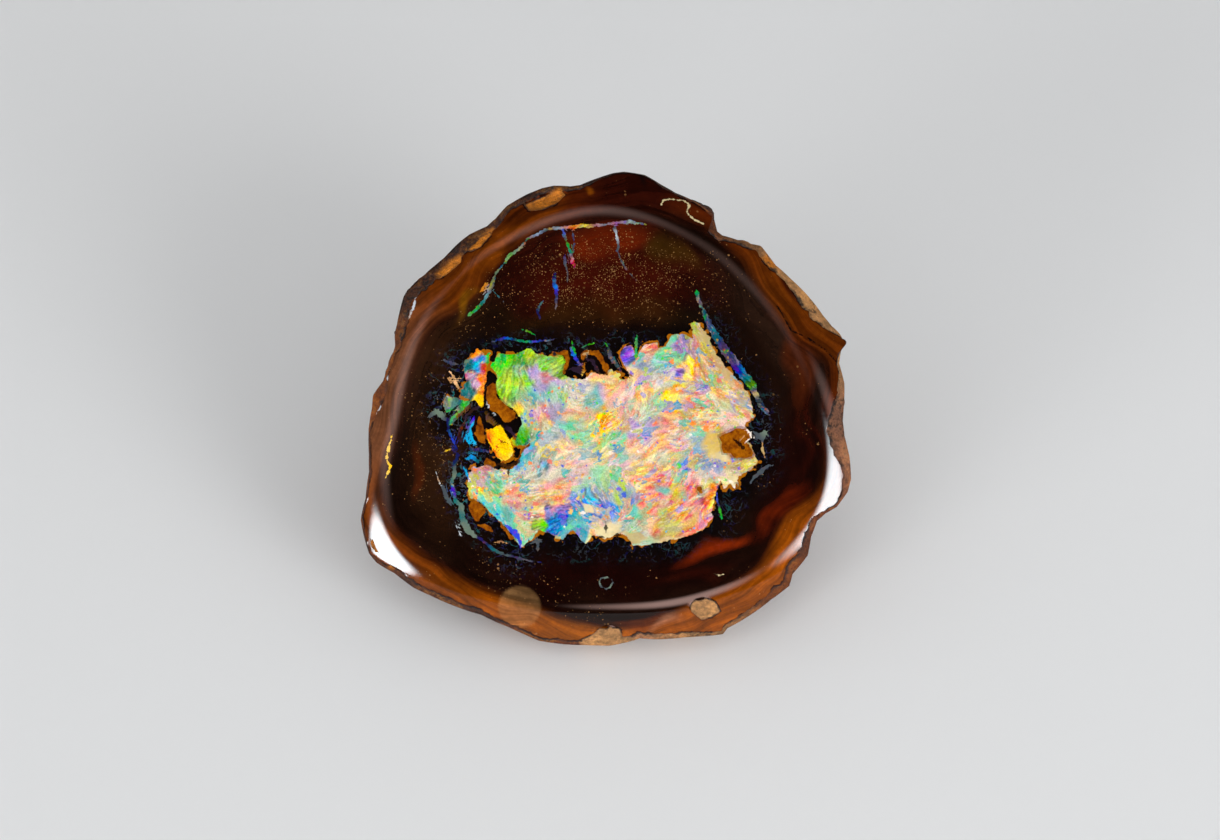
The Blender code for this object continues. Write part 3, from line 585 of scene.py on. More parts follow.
# Which way the opal's strokes run: u, v, reach, degrees.
STROKE_TURNS = [
    (-8.2, 3.0, 1.6, 80.0), (-5.9, 3.3, 1.2, 60.0), (-4.2, 3.7, 1.2, 20.0), (-5.0, 0.3, 1.6, 125.0),
    (-6.3, -1.6, 1.0, 112.0), (-2.8, -1.8, 1.6, 5.0), (-5.6, -4.2, 1.4, 48.0), (-4.0, -5.8, 1.8, 35.0),
    (-7.2, -7.0, 1.4, 25.0), (-9.2, -5.9, 1.3, 135.0), (-8.6, -8.3, 1.2, 142.0), (-1.6, -3.6, 1.4, 25.0),
    (-0.4, -1.2, 1.4, 40.0), (-0.6, 1.4, 1.4, 20.0), (1.8, 1.0, 1.8, 62.0), (4.2, 2.8, 1.8, 32.0),
    (6.4, 0.7, 1.8, 14.0), (8.4, 3.6, 1.8, 122.0), (10.2, 0.9, 1.4, 128.0), (4.8, -1.4, 1.8, 22.0),
    (8.6, -2.6, 1.8, 4.0), (6.2, -4.8, 1.6, 28.0), (2.8, -3.8, 1.8, 24.0), (1.0, -6.9, 1.4, 98.0),
    (-1.6, -7.8, 1.2, 138.0), (-3.9, -8.6, 1.2, 32.0), (4.8, -7.2, 1.8, 42.0), (6.6, -8.8, 1.6, 24.0),
    (3.2, -9.6, 1.6, 18.0), (-10.3, 3.0, 1.6, 62.0), (-10.2, 1.0, 1.0, 84.0), (-12.4, 0.3, 1.2, 100.0),
    (-8.6, -2.9, 1.4, 118.0),
]
STROKE_WOBBLE, WOBBLE_SEED = [(3.0, 1.0), (1.2, 0.7)], 5.0      # size and turn, in radians, of their swirls

# Threads, veins and cracks, and two painted glints of light: how much each sparkles as opal does, then its
# points, each u, v and width. A colour holds for the points after it.
LINES = [
    (0.8, "green", (-11.06, 7.64, 0.25), "leaf", (-10.56, 8.0, 0.3), "teal", (-9.99, 8.64, 0.3), "fog",
     (-9.57, 9.28, 0.4), "slate", (-9.28, 9.99, 0.5), "teal", (-8.93, 10.98, 0.22), (-8.43, 11.55, 0.2),
     "green", (-7.79, 12.47, 0.36), "teal", (-6.87, 13.11, 0.26), "slate", (-6.3, 13.82, 0.2), "fog",
     (-5.45, 14.24, 0.3), "slate", (-4.74, 14.57, 0.3), "fog", (-3.89, 14.67, 0.32), "orange",
     (-2.75, 14.74, 0.34), "sun", (-1.9, 14.84, 0.34), "rose", (-0.8, 14.9, 0.28), "fog",
     (0.0, 14.95, 0.26), "rose", (0.68, 15.1, 0.3), "fog", (1.96, 15.17, 0.36), "slate", (3.2, 15.0, 0.15)),
    (0.8, "sky", (-3.46, 14.53, 0.3), "slate", (-3.25, 13.82, 0.25), "green", (-3.04, 13.25, 0.25), "teal",
     (-2.82, 12.54, 0.25), "red", (-2.68, 11.97, 0.35), "navy", (-2.47, 11.4, 0.15)),
    (0.3, "slate", (-2.68, 14.39, 0.15), "navy", (-2.54, 13.53, 0.15), "slate", (-2.61, 12.68, 0.15)),
    (0.3, "navy", (-3.32, 12.4, 0.25), "slate", (-3.25, 11.69, 0.3), "navy", (-3.04, 10.98, 0.2), "slate",
     (-3.11, 10.27, 0.15)),
    (0.5, "navy", (-4.1, 10.98, 0.2), (-4.17, 10.41, 0.4), "blue", (-4.03, 9.84, 0.4), "navy",
     (-3.96, 9.13, 0.35), "slate", (-4.03, 8.14, 0.12)),
    (0.4, "slate", (-5.1, 8.71, 0.15), (-5.38, 8.28, 0.3), "navy", (-5.52, 7.86, 0.3), (-5.31, 7.36, 0.15)),
    (0.4, "slate", (0.76, 14.67, 0.3), "ice", (0.9, 14.1, 0.3), "slate", (1.04, 13.25, 0.25),
     (0.97, 12.82, 0.25), (1.18, 12.26, 0.2), (1.39, 11.76, 0.15), (1.96, 10.98, 0.1), (2.53, 10.41, 0.08)),
    (0.3, "teal", (-9.0, 9.42, 0.12), "slate", (-8.29, 8.71, 0.08)),
    (0.0, "honey", (-10.05, 9.65, 0.35), (-9.75, 10.15, 0.2)),
    (0.9, "green", (7.45, 9.4, 0.35), "iris", (7.55, 8.9, 0.4), "slate", (7.75, 8.35, 0.3)),
    (1.0, "teal", (7.95, 8.0, 0.35), "iris", (8.3, 7.2, 0.65), (8.6, 6.5, 0.75), "teal", (9.05, 5.75, 0.8),
     "iris", (9.5, 5.1, 0.85), (9.95, 4.45, 0.9), (10.5, 3.7, 0.95), "blue", (11.0, 3.0, 0.95), "teal",
     (11.5, 2.4, 0.9), "green", (11.9, 1.9, 0.85), "iris", (12.05, 1.45, 0.7), "cream", (12.2, 1.15, 0.5),
     "slate", (12.35, 0.85, 0.5), (12.65, 0.3, 0.65), (13.1, -0.3, 0.5)),
    (0.7, "navy", (-9.14, 5.44, 0.2), "blue", (-8.15, 5.73, 0.25), "navy", (-7.44, 5.59, 0.25), "green",
     (-6.59, 5.44, 0.25), "blue", (-5.73, 5.44, 0.2), "navy", (-4.17, 5.59, 0.15)),
    (0.6, "green", (-6.7, 6.4, 0.15), (-6.2, 6.2, 0.2), (-5.7, 6.0, 0.12)),
    (0.6, "green", (-2.7, 5.3, 0.2), (-2.5, 4.45, 0.2)),
    (0.6, "blue", (-2.75, 4.7, 0.3), (-2.4, 4.0, 0.4), "navy", (-2.0, 3.46, 0.2)),
    (0.6, "green", (2.53, 5.87, 0.2), (2.5, 5.0, 0.35), "leaf", (2.46, 4.17, 0.3)),
    (0.0, "tan", (-1.85, 4.35, 0.25), "sand", (-1.5, 4.55, 0.3), "slate", (-1.5, 4.4, 0.2)),
    (0.2, "plum", (-1.45, 4.0, 0.3), (-1.1, 3.9, 0.35), (-0.75, 3.3, 0.4), "olive", (-0.5, 2.85, 0.2)),
    (0.2, "plum", (-2.6, 3.2, 0.5), (-2.15, 3.2, 0.6), (-2.0, 2.9, 0.4)),
    (0.0, "syrup", (-1.75, 3.55, 0.2), (-1.7, 3.1, 0.25), "gold", (-1.9, 2.75, 0.2)),
    (0.7, "slate", (0.3, 4.7, 0.35), "iris", (0.45, 4.1, 0.5), "slate", (0.85, 3.6, 0.4), "plum",
     (1.2, 3.1, 0.25)),
    (0.4, "teal", (0.7, 4.2, 0.12), (0.95, 3.6, 0.1), (1.3, 3.1, 0.08)),
    (0.5, "green", (0.0, 5.3, 0.1), (0.2, 5.0, 0.14)),
    (0.4, "teal", (-1.9, 4.95, 0.1), "green", (-1.4, 5.2, 0.15), "leaf", (-1.0, 5.25, 0.12)),
    (0.0, "syrup", (2.1, 5.2, 0.12), (1.75, 5.25, 0.16), (1.4, 5.0, 0.18), (1.1, 4.55, 0.16),
     (1.18, 3.95, 0.16), (1.55, 3.35, 0.14), (2.1, 2.65, 0.14)),
    (0.0, "syrup", (2.72, 4.6, 0.1), (2.9, 5.05, 0.18), (3.35, 5.35, 0.2), (4.15, 5.45, 0.16)),
    (0.3, "ink", (-10.72, -0.8, 0.25), "violet", (-10.98, -1.2, 0.3), "iris", (-11.1, -1.8, 0.3)),
    (0.2, "cyan", (-10.75, -1.05, 0.2), (-10.98, -1.6, 0.24), (-10.95, -2.2, 0.3), (-10.7, -2.7, 0.3),
     (-10.42, -3.0, 0.18)),
    (0.2, "cyan", (-11.35, -2.0, 0.22), (-11.3, -2.5, 0.28), (-11.0, -2.85, 0.2)),
    (0.3, "bark", (-11.3, -0.9, 0.2), "maroon", (-11.75, -1.6, 0.35), (-11.9, -2.2, 0.4), "plum",
     (-11.8, -2.6, 0.3)),
    (0.6, "cyan", (-11.2, -4.05, 0.4), (-10.8, -3.95, 0.5), "teal", (-10.45, -4.25, 0.4)),
    (0.5, "cyan", (-11.45, -4.9, 0.25), (-11.25, -5.4, 0.3), "blue", (-11.02, -5.9, 0.25)),
    (0.0, "russet", (-6.15, -2.95, 0.16), "caramel", (-6.7, -3.35, 0.24), "russet", (-6.95, -3.9, 0.2),
     "bark", (-7.15, -4.4, 0.35), (-7.8, -4.7, 0.4), (-8.6, -4.55, 0.3)),
    (0.0, "bark", (-7.86, -4.8, 0.25), "umber", (-7.88, -5.6, 0.06)),
    (0.2, "navy", (-10.9, -3.3, 0.3), (-10.2, -3.35, 0.4), (-9.6, -3.5, 0.3)),
    (0.0, "black", (-9.66, 2.0, 0.14), (-9.78, 1.2, 0.14), (-9.72, 0.4, 0.3), (-9.45, -0.35, 0.4),
     (-8.9, -0.75, 0.45), (-8.25, -1.4, 0.5), "plum", (-7.75, -1.75, 0.55), (-7.4, -2.2, 0.3)),
    (0.0, "milk", (-9.69, 0.65, 0.1), "ice", (-9.5, 0.2, 0.12), "milk", (-9.42, -0.3, 0.12), "ice",
     (-9.03, -0.42, 0.12), "milk", (-8.6, -0.9, 0.16), "ice", (-8.1, -1.42, 0.1)),
    (0.2, "olive", (-9.7, -0.3, 0.35), "ochre", (-9.5, -0.95, 0.45), (-9.1, -1.25, 0.4)),
    (0.0, "black", (-11.9, 0.32, 0.14), (-12.35, -0.1, 0.2), (-12.95, -0.75, 0.2)),
    (0.3, "olive", (-10.95, 0.35, 0.2), "ochre", (-11.5, -0.2, 0.35), "olive", (-12.1, -0.75, 0.35), "teal",
     (-12.6, -1.25, 0.2)),
    (0.0, "red", (-11.55, -0.15, 0.12), "orange", (-11.7, -0.35, 0.14)),
    (0.0, "plum", (-10.3, 0.1, 0.3), "bark", (-10.9, -0.2, 0.35), "plum", (-11.4, -0.65, 0.25)),
    (0.0, "peach", (-12.62, 2.9, 0.2), "tan", (-12.35, 2.6, 0.24), "peach", (-12.2, 2.1, 0.3), "tan",
     (-12.0, 1.75, 0.2)),
    (0.0, "peach", (-12.15, 2.4, 0.2), "tan", (-11.7, 2.45, 0.16)),
    (0.0, "tan", (-12.75, 2.35, 0.18), (-12.6, 2.1, 0.14)),
    (0.2, "slate", (-14.3, -0.6, 0.3), "sage", (-13.8, -0.25, 0.6), (-13.35, -0.5, 0.6), "slate",
     (-13.1, -0.9, 0.3)),
    (0.2, "slate", (-13.2, 3.9, 0.2), "navy", (-12.7, 3.75, 0.4), "slate", (-12.1, 3.6, 0.2)),
    (0.3, "navy", (-12.85, -0.9, 0.25), (-12.8, -1.7, 0.3), "blue", (-12.4, -2.6, 0.25), "navy",
     (-12.1, -3.3, 0.2)),
    (0.2, "navy", (-13.3, -3.6, 0.12), "sun", (-12.8, -3.4, 0.12), "navy", (-12.5, -3.3, 0.2),
     (-12.0, -3.7, 0.3), (-12.3, -4.5, 0.35)),
    (0.0, "orange", (-9.6, -1.9, 0.14), "red", (-9.42, -2.5, 0.2), "orange", (-9.15, -3.1, 0.16)),
    (0.0, "red", (-9.1, -3.35, 0.2), "orange", (-8.8, -3.85, 0.18), "red", (-8.35, -4.15, 0.14)),
    (0.0, "red", (-8.6, -2.55, 0.1), "maroon", (-8.35, -2.75, 0.16), "red", (-8.5, -2.85, 0.08)),
    (0.0, "red", (-8.85, -3.1, 0.12), "maroon", (-8.6, -3.25, 0.12)),
    (0.0, "black", (-8.25, -2.65, 0.06), (-7.98, -2.85, 0.1)),
    (0.2, "slate", (-12.2, -4.7, 0.35), "sage", (-12.3, -5.4, 0.4), "teal", (-12.55, -6.0, 0.3)),
    (1.0, "teal", (-12.55, -6.0, 0.3), "blue", (-12.4, -6.6, 0.4), "teal", (-12.25, -7.2, 0.4)),
    (0.2, "teal", (-12.2, -7.5, 0.4), "sage", (-11.7, -8.0, 0.6), "teal", (-11.65, -8.8, 0.55), "sage",
     (-11.5, -9.4, 0.7), (-11.1, -9.95, 0.65), (-10.65, -10.35, 0.4)),
    (0.1, "slate", (-13.2, -6.4, 0.35), (-12.95, -7.1, 0.45), (-12.7, -7.7, 0.35)),
    # This line and the next are painted highlights: thin glints of light on the polish.
    (0.0, "ice", (-13.76, -5.24, 0.12), "tan", (-13.6, -5.8, 0.12), "ice", (-13.4, -6.2, 0.12)),
    (0.0, "slate", (-12.2, -9.2, 0.1), "ice", (-12.05, -9.8, 0.12), (-11.8, -10.3, 0.12), "slate",
     (-11.6, -10.5, 0.1)),
    (0.2, "navy", (-10.3, -10.5, 0.35), (-9.7, -11.0, 0.3), "teal", (-9.1, -11.5, 0.3), "slate",
     (-8.3, -11.85, 0.25), "navy", (-7.4, -12.1, 0.25), "slate", (-6.2, -12.4, 0.2), "navy",
     (-5.3, -12.5, 0.15)),
    (0.1, "ink", (-7.95, -9.6, 0.3), (-7.35, -10.1, 0.6), (-7.0, -10.6, 0.4), (-6.95, -11.2, 0.2)),
    (0.2, "slate", (-5.95, -10.9, 0.3), (-5.5, -10.75, 0.5), (-5.5, -11.4, 0.3)),
    (0.0, "tan", (-8.9, -10.9, 0.16), "clay", (-8.5, -10.8, 0.3), "tan", (-8.1, -10.95, 0.16)),
    (0.2, "navy", (9.15, -6.3, 0.12), "blue", (9.05, -7.2, 0.16), "navy", (9.2, -7.9, 0.16), "green",
     (9.3, -8.3, 0.22), (9.45, -8.9, 0.22)),
    (0.1, "slate", (12.15, -2.0, 0.3), (12.5, -2.3, 0.5), "sage", (12.95, -2.0, 0.5), "slate",
     (12.75, -2.6, 0.3)),
    (0.0, "tan", (12.75, -2.9, 0.14), "sand", (12.75, -3.4, 0.24), "tan", (12.95, -3.9, 0.16)),
    (0.1, "slate", (13.6, -4.6, 0.14), (13.0, -4.8, 0.3), (12.6, -5.15, 0.5), (12.1, -5.6, 0.3),
     (11.8, -6.0, 0.15)),
    (0.0, "tan", (11.3, -1.75, 0.08), (11.3, -2.2, 0.08), (11.0, -2.6, 0.06)),
    (0.0, "milk", (11.45, -1.65, 0.12), (11.75, -2.0, 0.14), (11.85, -2.4, 0.14), (11.45, -2.7, 0.12),
     "tan", (11.25, -2.9, 0.08)),
    (0.0, "milk", (10.15, -5.95, 0.3), "cream", (10.45, -6.2, 0.35), "milk", (10.5, -6.4, 0.2)),
    (0.0, "cream", (4.59, 16.66, 0.15), (4.73, 17.01, 0.2), (5.23, 17.08, 0.15), (5.79, 17.04, 0.15),
     (6.36, 17.0, 0.15), (6.72, 16.8, 0.2), (6.86, 16.51, 0.2), (6.65, 16.09, 0.15), (6.86, 15.73, 0.15),
     (7.28, 15.38, 0.15), (7.92, 15.1, 0.15)),
    (0.0, "sun", (-17.37, -2.21, 0.15), "gold", (-17.51, -2.71, 0.2), (-17.73, -3.42, 0.3),
     (-17.8, -4.2, 0.25), "sun", (-17.51, -4.7, 0.25), "gold", (-17.73, -5.26, 0.25), (-17.87, -5.55, 0.15)),
    (0.0, "slate", (0.62, -14.15, 0.12), "sage", (0.4, -14.5, 0.14), "slate", (0.05, -14.7, 0.08),
     (-0.35, -14.5, 0.12), "sage", (-0.5, -14.15, 0.16), "slate", (-0.4, -13.8, 0.12), "sage",
     (0.1, -13.7, 0.14), "slate", (0.5, -13.9, 0.08), (0.62, -14.15, 0.12)),
    (0.0, "black", (13.95, 8.42, 0.15), (15.16, 6.3, 0.15), (16.3, 5.87, 0.12), (17.86, 4.88, 0.15),
     (18.85, 3.88, 0.15)),
    (0.0, "ice", (-15.51, 9.13, 0.2), (-15.66, 8.15, 0.25), "tan", (-16.29, 6.92, 0.15), "ice",
     (-16.74, 5.6, 0.2), "tan", (-17.36, 4.17, 0.12), "ice", (-17.87, 2.19, 0.15), "tan",
     (-18.06, 1.26, 0.15), "ice", (-18.35, 0.19, 0.15), "tan", (-18.89, -0.66, 0.12)),
    (0.0, "cream", (9.0, -13.5, 0.12), (9.3, -13.6, 0.12), (9.6, -13.5, 0.1)),
    (0.0, "black", (0.05, -9.35, 0.3), (0.05, -9.9, 0.3)),
    (0.0, "black", (0.9, -10.3, 0.3), (1.04, -10.3, 0.3)),
    (0.0, "black", (-0.42, -10.44, 0.3), (-0.34, -10.44, 0.3)),
    (0.0, "black", (10.55, -2.6, 0.3), (10.9, -2.95, 0.45), (11.25, -3.25, 0.3)),
]
LINE_REACH = 1.2                    # a point farther than this from a line isn't marked by it
LINE_SHADOW, LINE_FALL = 0.08, 3.0  # how far beyond a line its field starts to fall away, and how fast


def inside(points, corners):
    """Distance of points inside a closed outline, and negative outside it."""
    distance = np.full(len(points), np.inf)
    crossings = np.zeros(len(points), dtype=int)
    for start, end in zip(np.array(corners), np.array(corners[1:] + corners[:1])):
        along, off = end - start, points - start
        share = np.clip(off @ along / (along @ along), 0.0, 1.0)
        distance = np.minimum(distance, np.hypot(*(off - share[:, None] * along).T))
        if start[1] != end[1]:
            spans = (points[:, 1] >= min(start[1], end[1])) & (points[:, 1] < max(start[1], end[1]))
            crossings += spans & (off[:, 0] < off[:, 1] * along[0] / along[1])
    return np.where(crossings % 2 == 1, distance, -distance)


def soft_spot(points, u, v, half_length, half_width, turn):
    """1 in the middle of an ellipse, 0 well outside it."""
    angle = math.radians(turn)
    off = points - (u, v)
    along = off[:, 0] * math.cos(angle) + off[:, 1] * math.sin(angle)
    across = off[:, 1] * math.cos(angle) - off[:, 0] * math.sin(angle)
    return 1.0 - smoothstep(*SPOT_FADE, np.hypot(along / half_length, across / half_width))


def nearness(points, u, v, reach):
    """1 at a place, falling away within its reach."""
    return np.exp(-2.0 * (((points - (u, v)) / reach) ** 2).sum(axis=1))


def face_noise(points, size, seed):
    """Noise at points of the face. Each seed gives another."""
    return noise_at(np.column_stack([points, np.full(len(points), seed)]), size)


def drifted(points, size, reach, seeds):
    """Points of the face, moved about by noise."""
    return points + reach * np.stack([face_noise(points, size, seed) for seed in seeds], axis=1)


def blend(base, name, share):
    return base + (linear(name) - base) * share[:, None]


def tones_around(table, bearings):
    """Colours at bearings, from a closed table of bearings and names."""
    tones = np.array([linear(name) for _, name in table])
    at = [bearing for bearing, _ in table]
    return np.stack([np.interp(bearings, at, tones[:, k], period=360.0) for k in range(3)], axis=1)


def ground_colours(points, bearings, radii, opal):
    """Colour of the ironstone at points of the polished face."""
    ground = np.tile(linear("umber"), (len(points), 1))
    flat, points = points, drifted(points, *SPOT_DRIFT)
    for *spot, name, strength in GROUND_SPOTS[:UNDER_BLACK]:
        ground = blend(ground, name, strength * soft_spot(points, *spot))
    ground = blend(ground, "black", RING_STRENGTH * smoothstep(*RING_REACH, opal))
    beyond = radii - around_smoothly(BAND_LINE, bearings)
    ground = blend(ground, "maroon", EDGE_LINE[1] * (1.0 - smoothstep(0.0, EDGE_LINE[0], -beyond)))
    band = tones_around(BAND_TONES, bearings)
    ground += (band - ground) * smoothstep(*BAND_BLUR, beyond)[:, None]
    for *spot, name, strength in GROUND_SPOTS[UNDER_BLACK:]:
        ground = blend(ground, name, strength * soft_spot(points, *spot))
    for u, v, radius, name, strength in DISCS:
        off = np.hypot(flat[:, 0] - u, flat[:, 1] - v)
        ground = blend(ground, name, strength * smoothstep(radius, radius - DISC_EDGE, off))
    return ground


def opal_colours(points):
    """Colour of the opal at points of the polished face, and how vivid it is, from its zones."""
    total, weights = np.zeros((len(points), 4)), np.full(len(points), TINY)
    loose = 1.0 - soft_spot(points, *STEADY_SPOT)
    for size, reach in ZONE_DRIFT:
        points = drifted(points, size, reach * loose[:, None], ZONE_SEEDS)
    for name, places in OPAL_ZONES.items():
        weight = sum(nearness(points, *place) for place in places)
        total += weight[:, None] * (*linear(name), VIVID.get(name, 0.0))
        weights += weight
    total /= weights[:, None]
    return total[:, :3], total[:, 3]


def potch_colours(points):
    """Colour of the potch, and how much of it there is, at points of the polished face."""
    total, most, weights = np.zeros((len(points), 3)), np.zeros(len(points)), np.full(len(points), TINY)
    points = drifted(points, *POTCH_DRIFT)
    for *spot, name, strength in POTCH_SPOTS:
        share = strength * soft_spot(points, *spot)
        total += share[:, None] * linear(name)
        weights += share
        most = np.maximum(most, share)
    return np.column_stack([total / weights[:, None], most])


def stroke_turns(points):
    """The way of the opal's strokes, as the cosine and sine of twice its angle."""
    total = np.zeros((len(points), 2))
    for u, v, reach, turn in STROKE_TURNS:
        weight = nearness(points, u, v, reach) + TINY
        angle = math.radians(2.0 * turn)
        total += weight[:, None] * (math.cos(angle), math.sin(angle))
    angle = np.arctan2(total[:, 1], total[:, 0])
    for size, turn in STROKE_WOBBLE:
        angle += 2.0 * turn * face_noise(points, size, WOBBLE_SEED)
    return np.stack([np.cos(angle), np.sin(angle), np.zeros(len(points))], axis=1)


def with_tones(row):
    """A line's points, each with the last colour named before it."""
    rows, tone = [], None
    for item in row:
        if isinstance(item, str):
            tone = item
        else:
            rows.append((*item, tone))
    return rows


def line_fields(points):
    """Signed distance to the nearest line, that line's half width, its sparkle and its colour."""
    count = len(points)
    best, side = np.full(count, -np.inf), np.ones(count)
    reach, sparkle, tint = np.full(count, -1.0), np.zeros(count), np.zeros((count, 3))
    for shine, *row in LINES:
        rows = with_tones(row)
        for (u0, v0, w0, c0), (u1, v1, w1, c1) in zip(rows, rows[1:]):
            start, along = np.array([u0, v0]), np.array([u1 - u0, v1 - v0])
            off = points - start
            share = np.clip(off @ along / (along @ along), 0.0, 1.0)
            distance = np.hypot(*(off - share[:, None] * along).T)
            half = 0.5 * (w0 + (w1 - w0) * share)
            nearer = (half - distance > best) & (distance < LINE_REACH)
            best = np.where(nearer, half - distance, best)
            turn = np.sign(along[0] * off[:, 1] - along[1] * off[:, 0])
            side = np.where(nearer, np.where(turn < 0.0, -distance, distance), side)
            falling = np.maximum(distance - half - LINE_SHADOW, 0.0)
            reach = np.where(nearer, half - LINE_FALL * falling, reach)
            sparkle = np.where(nearer, shine, sparkle)
            mixed = linear(c0) + (linear(c1) - linear(c0)) * share[:, None]
            tint = np.where(nearer[:, None], mixed, tint)
    return np.stack([side, reach, sparkle], axis=1), tint


# ---------------------------------------------------------------- the stone's mesh


def drop_crumbs(bm):
    """Delete the small bits that the cut leaves beside the stone, where the skin only brushed the floor."""
    stone = {max(bm.verts, key=lambda vert: vert.co.z)}
    border = list(stone)
    while border:
        near = {edge.other_vert(vert) for vert in border for edge in vert.link_edges}
        border = list(near - stone)
        stone |= near
    bmesh.ops.delete(bm, geom=[vert for vert in bm.verts if vert not in stone], context="VERTS")


def in_the_world():
    """From the face frame to the world, both in millimetres."""
    return Matrix.Translation(FACE_CENTRE) @ Matrix.Rotation(math.radians(FACE_TILT), 4, "X")


def stone_mesh():
    """The whole stone as one closed mesh, with its polish at each vertex."""
    points, polish, faces = loft(stone_rings())
    bm = bmesh.new()
    layer = bm.verts.layers.float.new("polish")
    verts = [bm.verts.new(point) for point in points]
    for vert, value in zip(verts, polish):
        vert[layer] = value
    for corners in faces:
        bm.faces.new([verts[k] for k in corners])
    bmesh.ops.transform(bm, matrix=in_the_world(), verts=bm.verts)
    cut = bmesh.ops.bisect_plane(
        bm, geom=bm.verts[:] + bm.edges[:] + bm.faces[:], dist=CUT_WITHIN,
        plane_co=(0.0, 0.0, 0.0), plane_no=(0.0, 0.0, -1.0), clear_outer=True,
    )
    rim = [item for item in cut["geom_cut"] if isinstance(item, bmesh.types.BMEdge)]
    bmesh.ops.edgeloop_fill(bm, edges=rim)
    drop_crumbs(bm)
    bmesh.ops.triangulate(bm, faces=bm.faces[:])
    bmesh.ops.recalc_face_normals(bm, faces=bm.faces[:])
    bmesh.ops.scale(bm, vec=(MM, MM, MM), verts=bm.verts)
    mesh = bpy.data.meshes.new("opal_stone")
    bm.to_mesh(mesh)
    bm.free()
    mesh.shade_smooth()
    mesh.set_sharp_from_angle(angle=math.radians(SHARP_ANGLE))
    return mesh


def add_field(mesh, name, values):
    """Give a mesh a named number, vector or colour at each vertex."""
    kinds = {1: ("FLOAT", "value"), 3: ("FLOAT_VECTOR", "vector"), 4: ("FLOAT_COLOR", "color")}
    kind, key = kinds[values.size // len(values)]
    mesh.attributes.new(name, kind, "POINT").data.foreach_set(key, values.astype(np.float32).ravel())


def opaque(tints):
    return np.column_stack([tints, np.ones(len(tints))])


def mark_stone(mesh):
    """Write the markings of the polished face on the mesh."""
    count = len(mesh.vertices)
    world = np.empty(count * 3, dtype=np.float32)
    mesh.vertices.foreach_get("co", world)
    back = np.array(in_the_world().inverted())
    local = world.reshape(-1, 3) / MM @ back[:3, :3].T + back[:3, 3]
    polish = np.empty(count, dtype=np.float32)
    mesh.attributes["polish"].data.foreach_get("value", polish)
    on_face = polish > MARKED_POLISH
    points = local[on_face, :2]
    bearings, radii = np.degrees(np.arctan2(points[:, 1], points[:, 0])) % 360.0, np.hypot(*points.T)

    opal, caramel, chips, crusts = (
        np.max([inside(points, area) for area in areas], axis=0)
        for areas in (OPAL_AREAS, CARAMEL_AREAS, CHIPS, CRUSTS))
    sandy, wispy = (
        np.max([strength * soft_spot(points, *spot) for *spot, strength in spots], axis=0)
        for spots in (SANDY_SPOTS, WISPY_SPOTS))
    polish[on_face] = np.minimum(polish[on_face], -np.maximum(chips, crusts))
    mesh.attributes["polish"].data.foreach_set("value", polish)
    lines, line_tint = line_fields(points)
    opal_tint, vivid = opal_colours(points)
    ground = ground_colours(points, bearings, radii, opal)
    skin_tint = blend(tones_around(SKIN_TONES, bearings), "gilt", smoothstep(*CHIP_EDGE, chips))
    skin_tint = blend(skin_tint, "tan", smoothstep(*CHIP_EDGE, crusts))

    add_field(mesh, "face", local)
    tints = (("line_tint", line_tint), ("ground", ground), ("opal_tint", opal_tint), ("skin_tint", skin_tint))
    for name, values, elsewhere in (
        ("opal", opal, -FAR), ("caramel", caramel, -FAR), ("sandy", sandy, 0.0), ("wispy", wispy, 0.0),
        ("vivid", vivid, 0.0), ("strokes", stroke_turns(points), 0.0),
        ("rim", radii - around_smoothly(BAND_LINE, bearings), FAR), ("lines", lines, -1.0),
        *((name, opaque(tint), colour("toffee")) for name, tint in tints),
        ("potch", potch_colours(points), 0.0),
    ):
        whole = np.full((count, *values.shape[1:]), elsewhere)
        whole[on_face] = values
        add_field(mesh, name, whole)


# ---------------------------------------------------------------- materials

# A noise is its size, detail and roughness, and a fade is low, high, start and end, as Value's methods take
# them. Sizes are in millimetres on the stone.
POLISH_SHEEN, SKIN_SHEEN = 0.5, 0.12            # how much light each throws back
POLISH_ROUGHNESS, COAT_ROUGHNESS = 0.13, 0.07
SKIN_ROUGHNESS = (0.92, 0.66)
SKIN_BUMP = 0.35 * MM
OPENING = (-0.03, 0.03)             # distances inside an area between which its look comes in
RAGGED = (0.45, 3.0, 0.6)           # noise that makes every edge ragged
BROAD_STROKES, FINE_STROKES = (0.60, 0.17), (0.19, 0.065)       # size of the noise, and gap between its taps
COMB_TAPS = 3                       # on each side of a point, along the strokes
COMB_SPREAD = 0.13                  # of the smeared noise, on each side of its mean
COMBING = (0.42, 0.60, 0.05, 0.85)  # fade of where they show
HUE_SWINGS = (-0.035, 0.045), (-0.03, 0.03)     # that broad and fine strokes bring
LIGHT_SWINGS = (0.80, 1.08), (-0.18, 0.10)      # likewise
LIVELY_LIGHT = (0.3, 1.3, -0.58, 0.10)          # fade of what the lively zones have besides
PURITY_SWING = (-0.18, 0.22)
GRAIN_SIZE, GRAIN_HUE, GRAIN_LIGHT = 0.13, 0.10, (0.32, 0.68, 0.84, 1.12)
STROKE_FADE, MILK_FADE = (0.55, 0.95, 0.0, 0.6), (0.70, 0.98, 0.0, 0.45)
CLUSTERS = (0.44, 0.60, 0.1, 1.8)   # fade of how many dots there are
DOT_STRENGTH = (0.69, 0.15)         # what calm zones have more of, and what all have

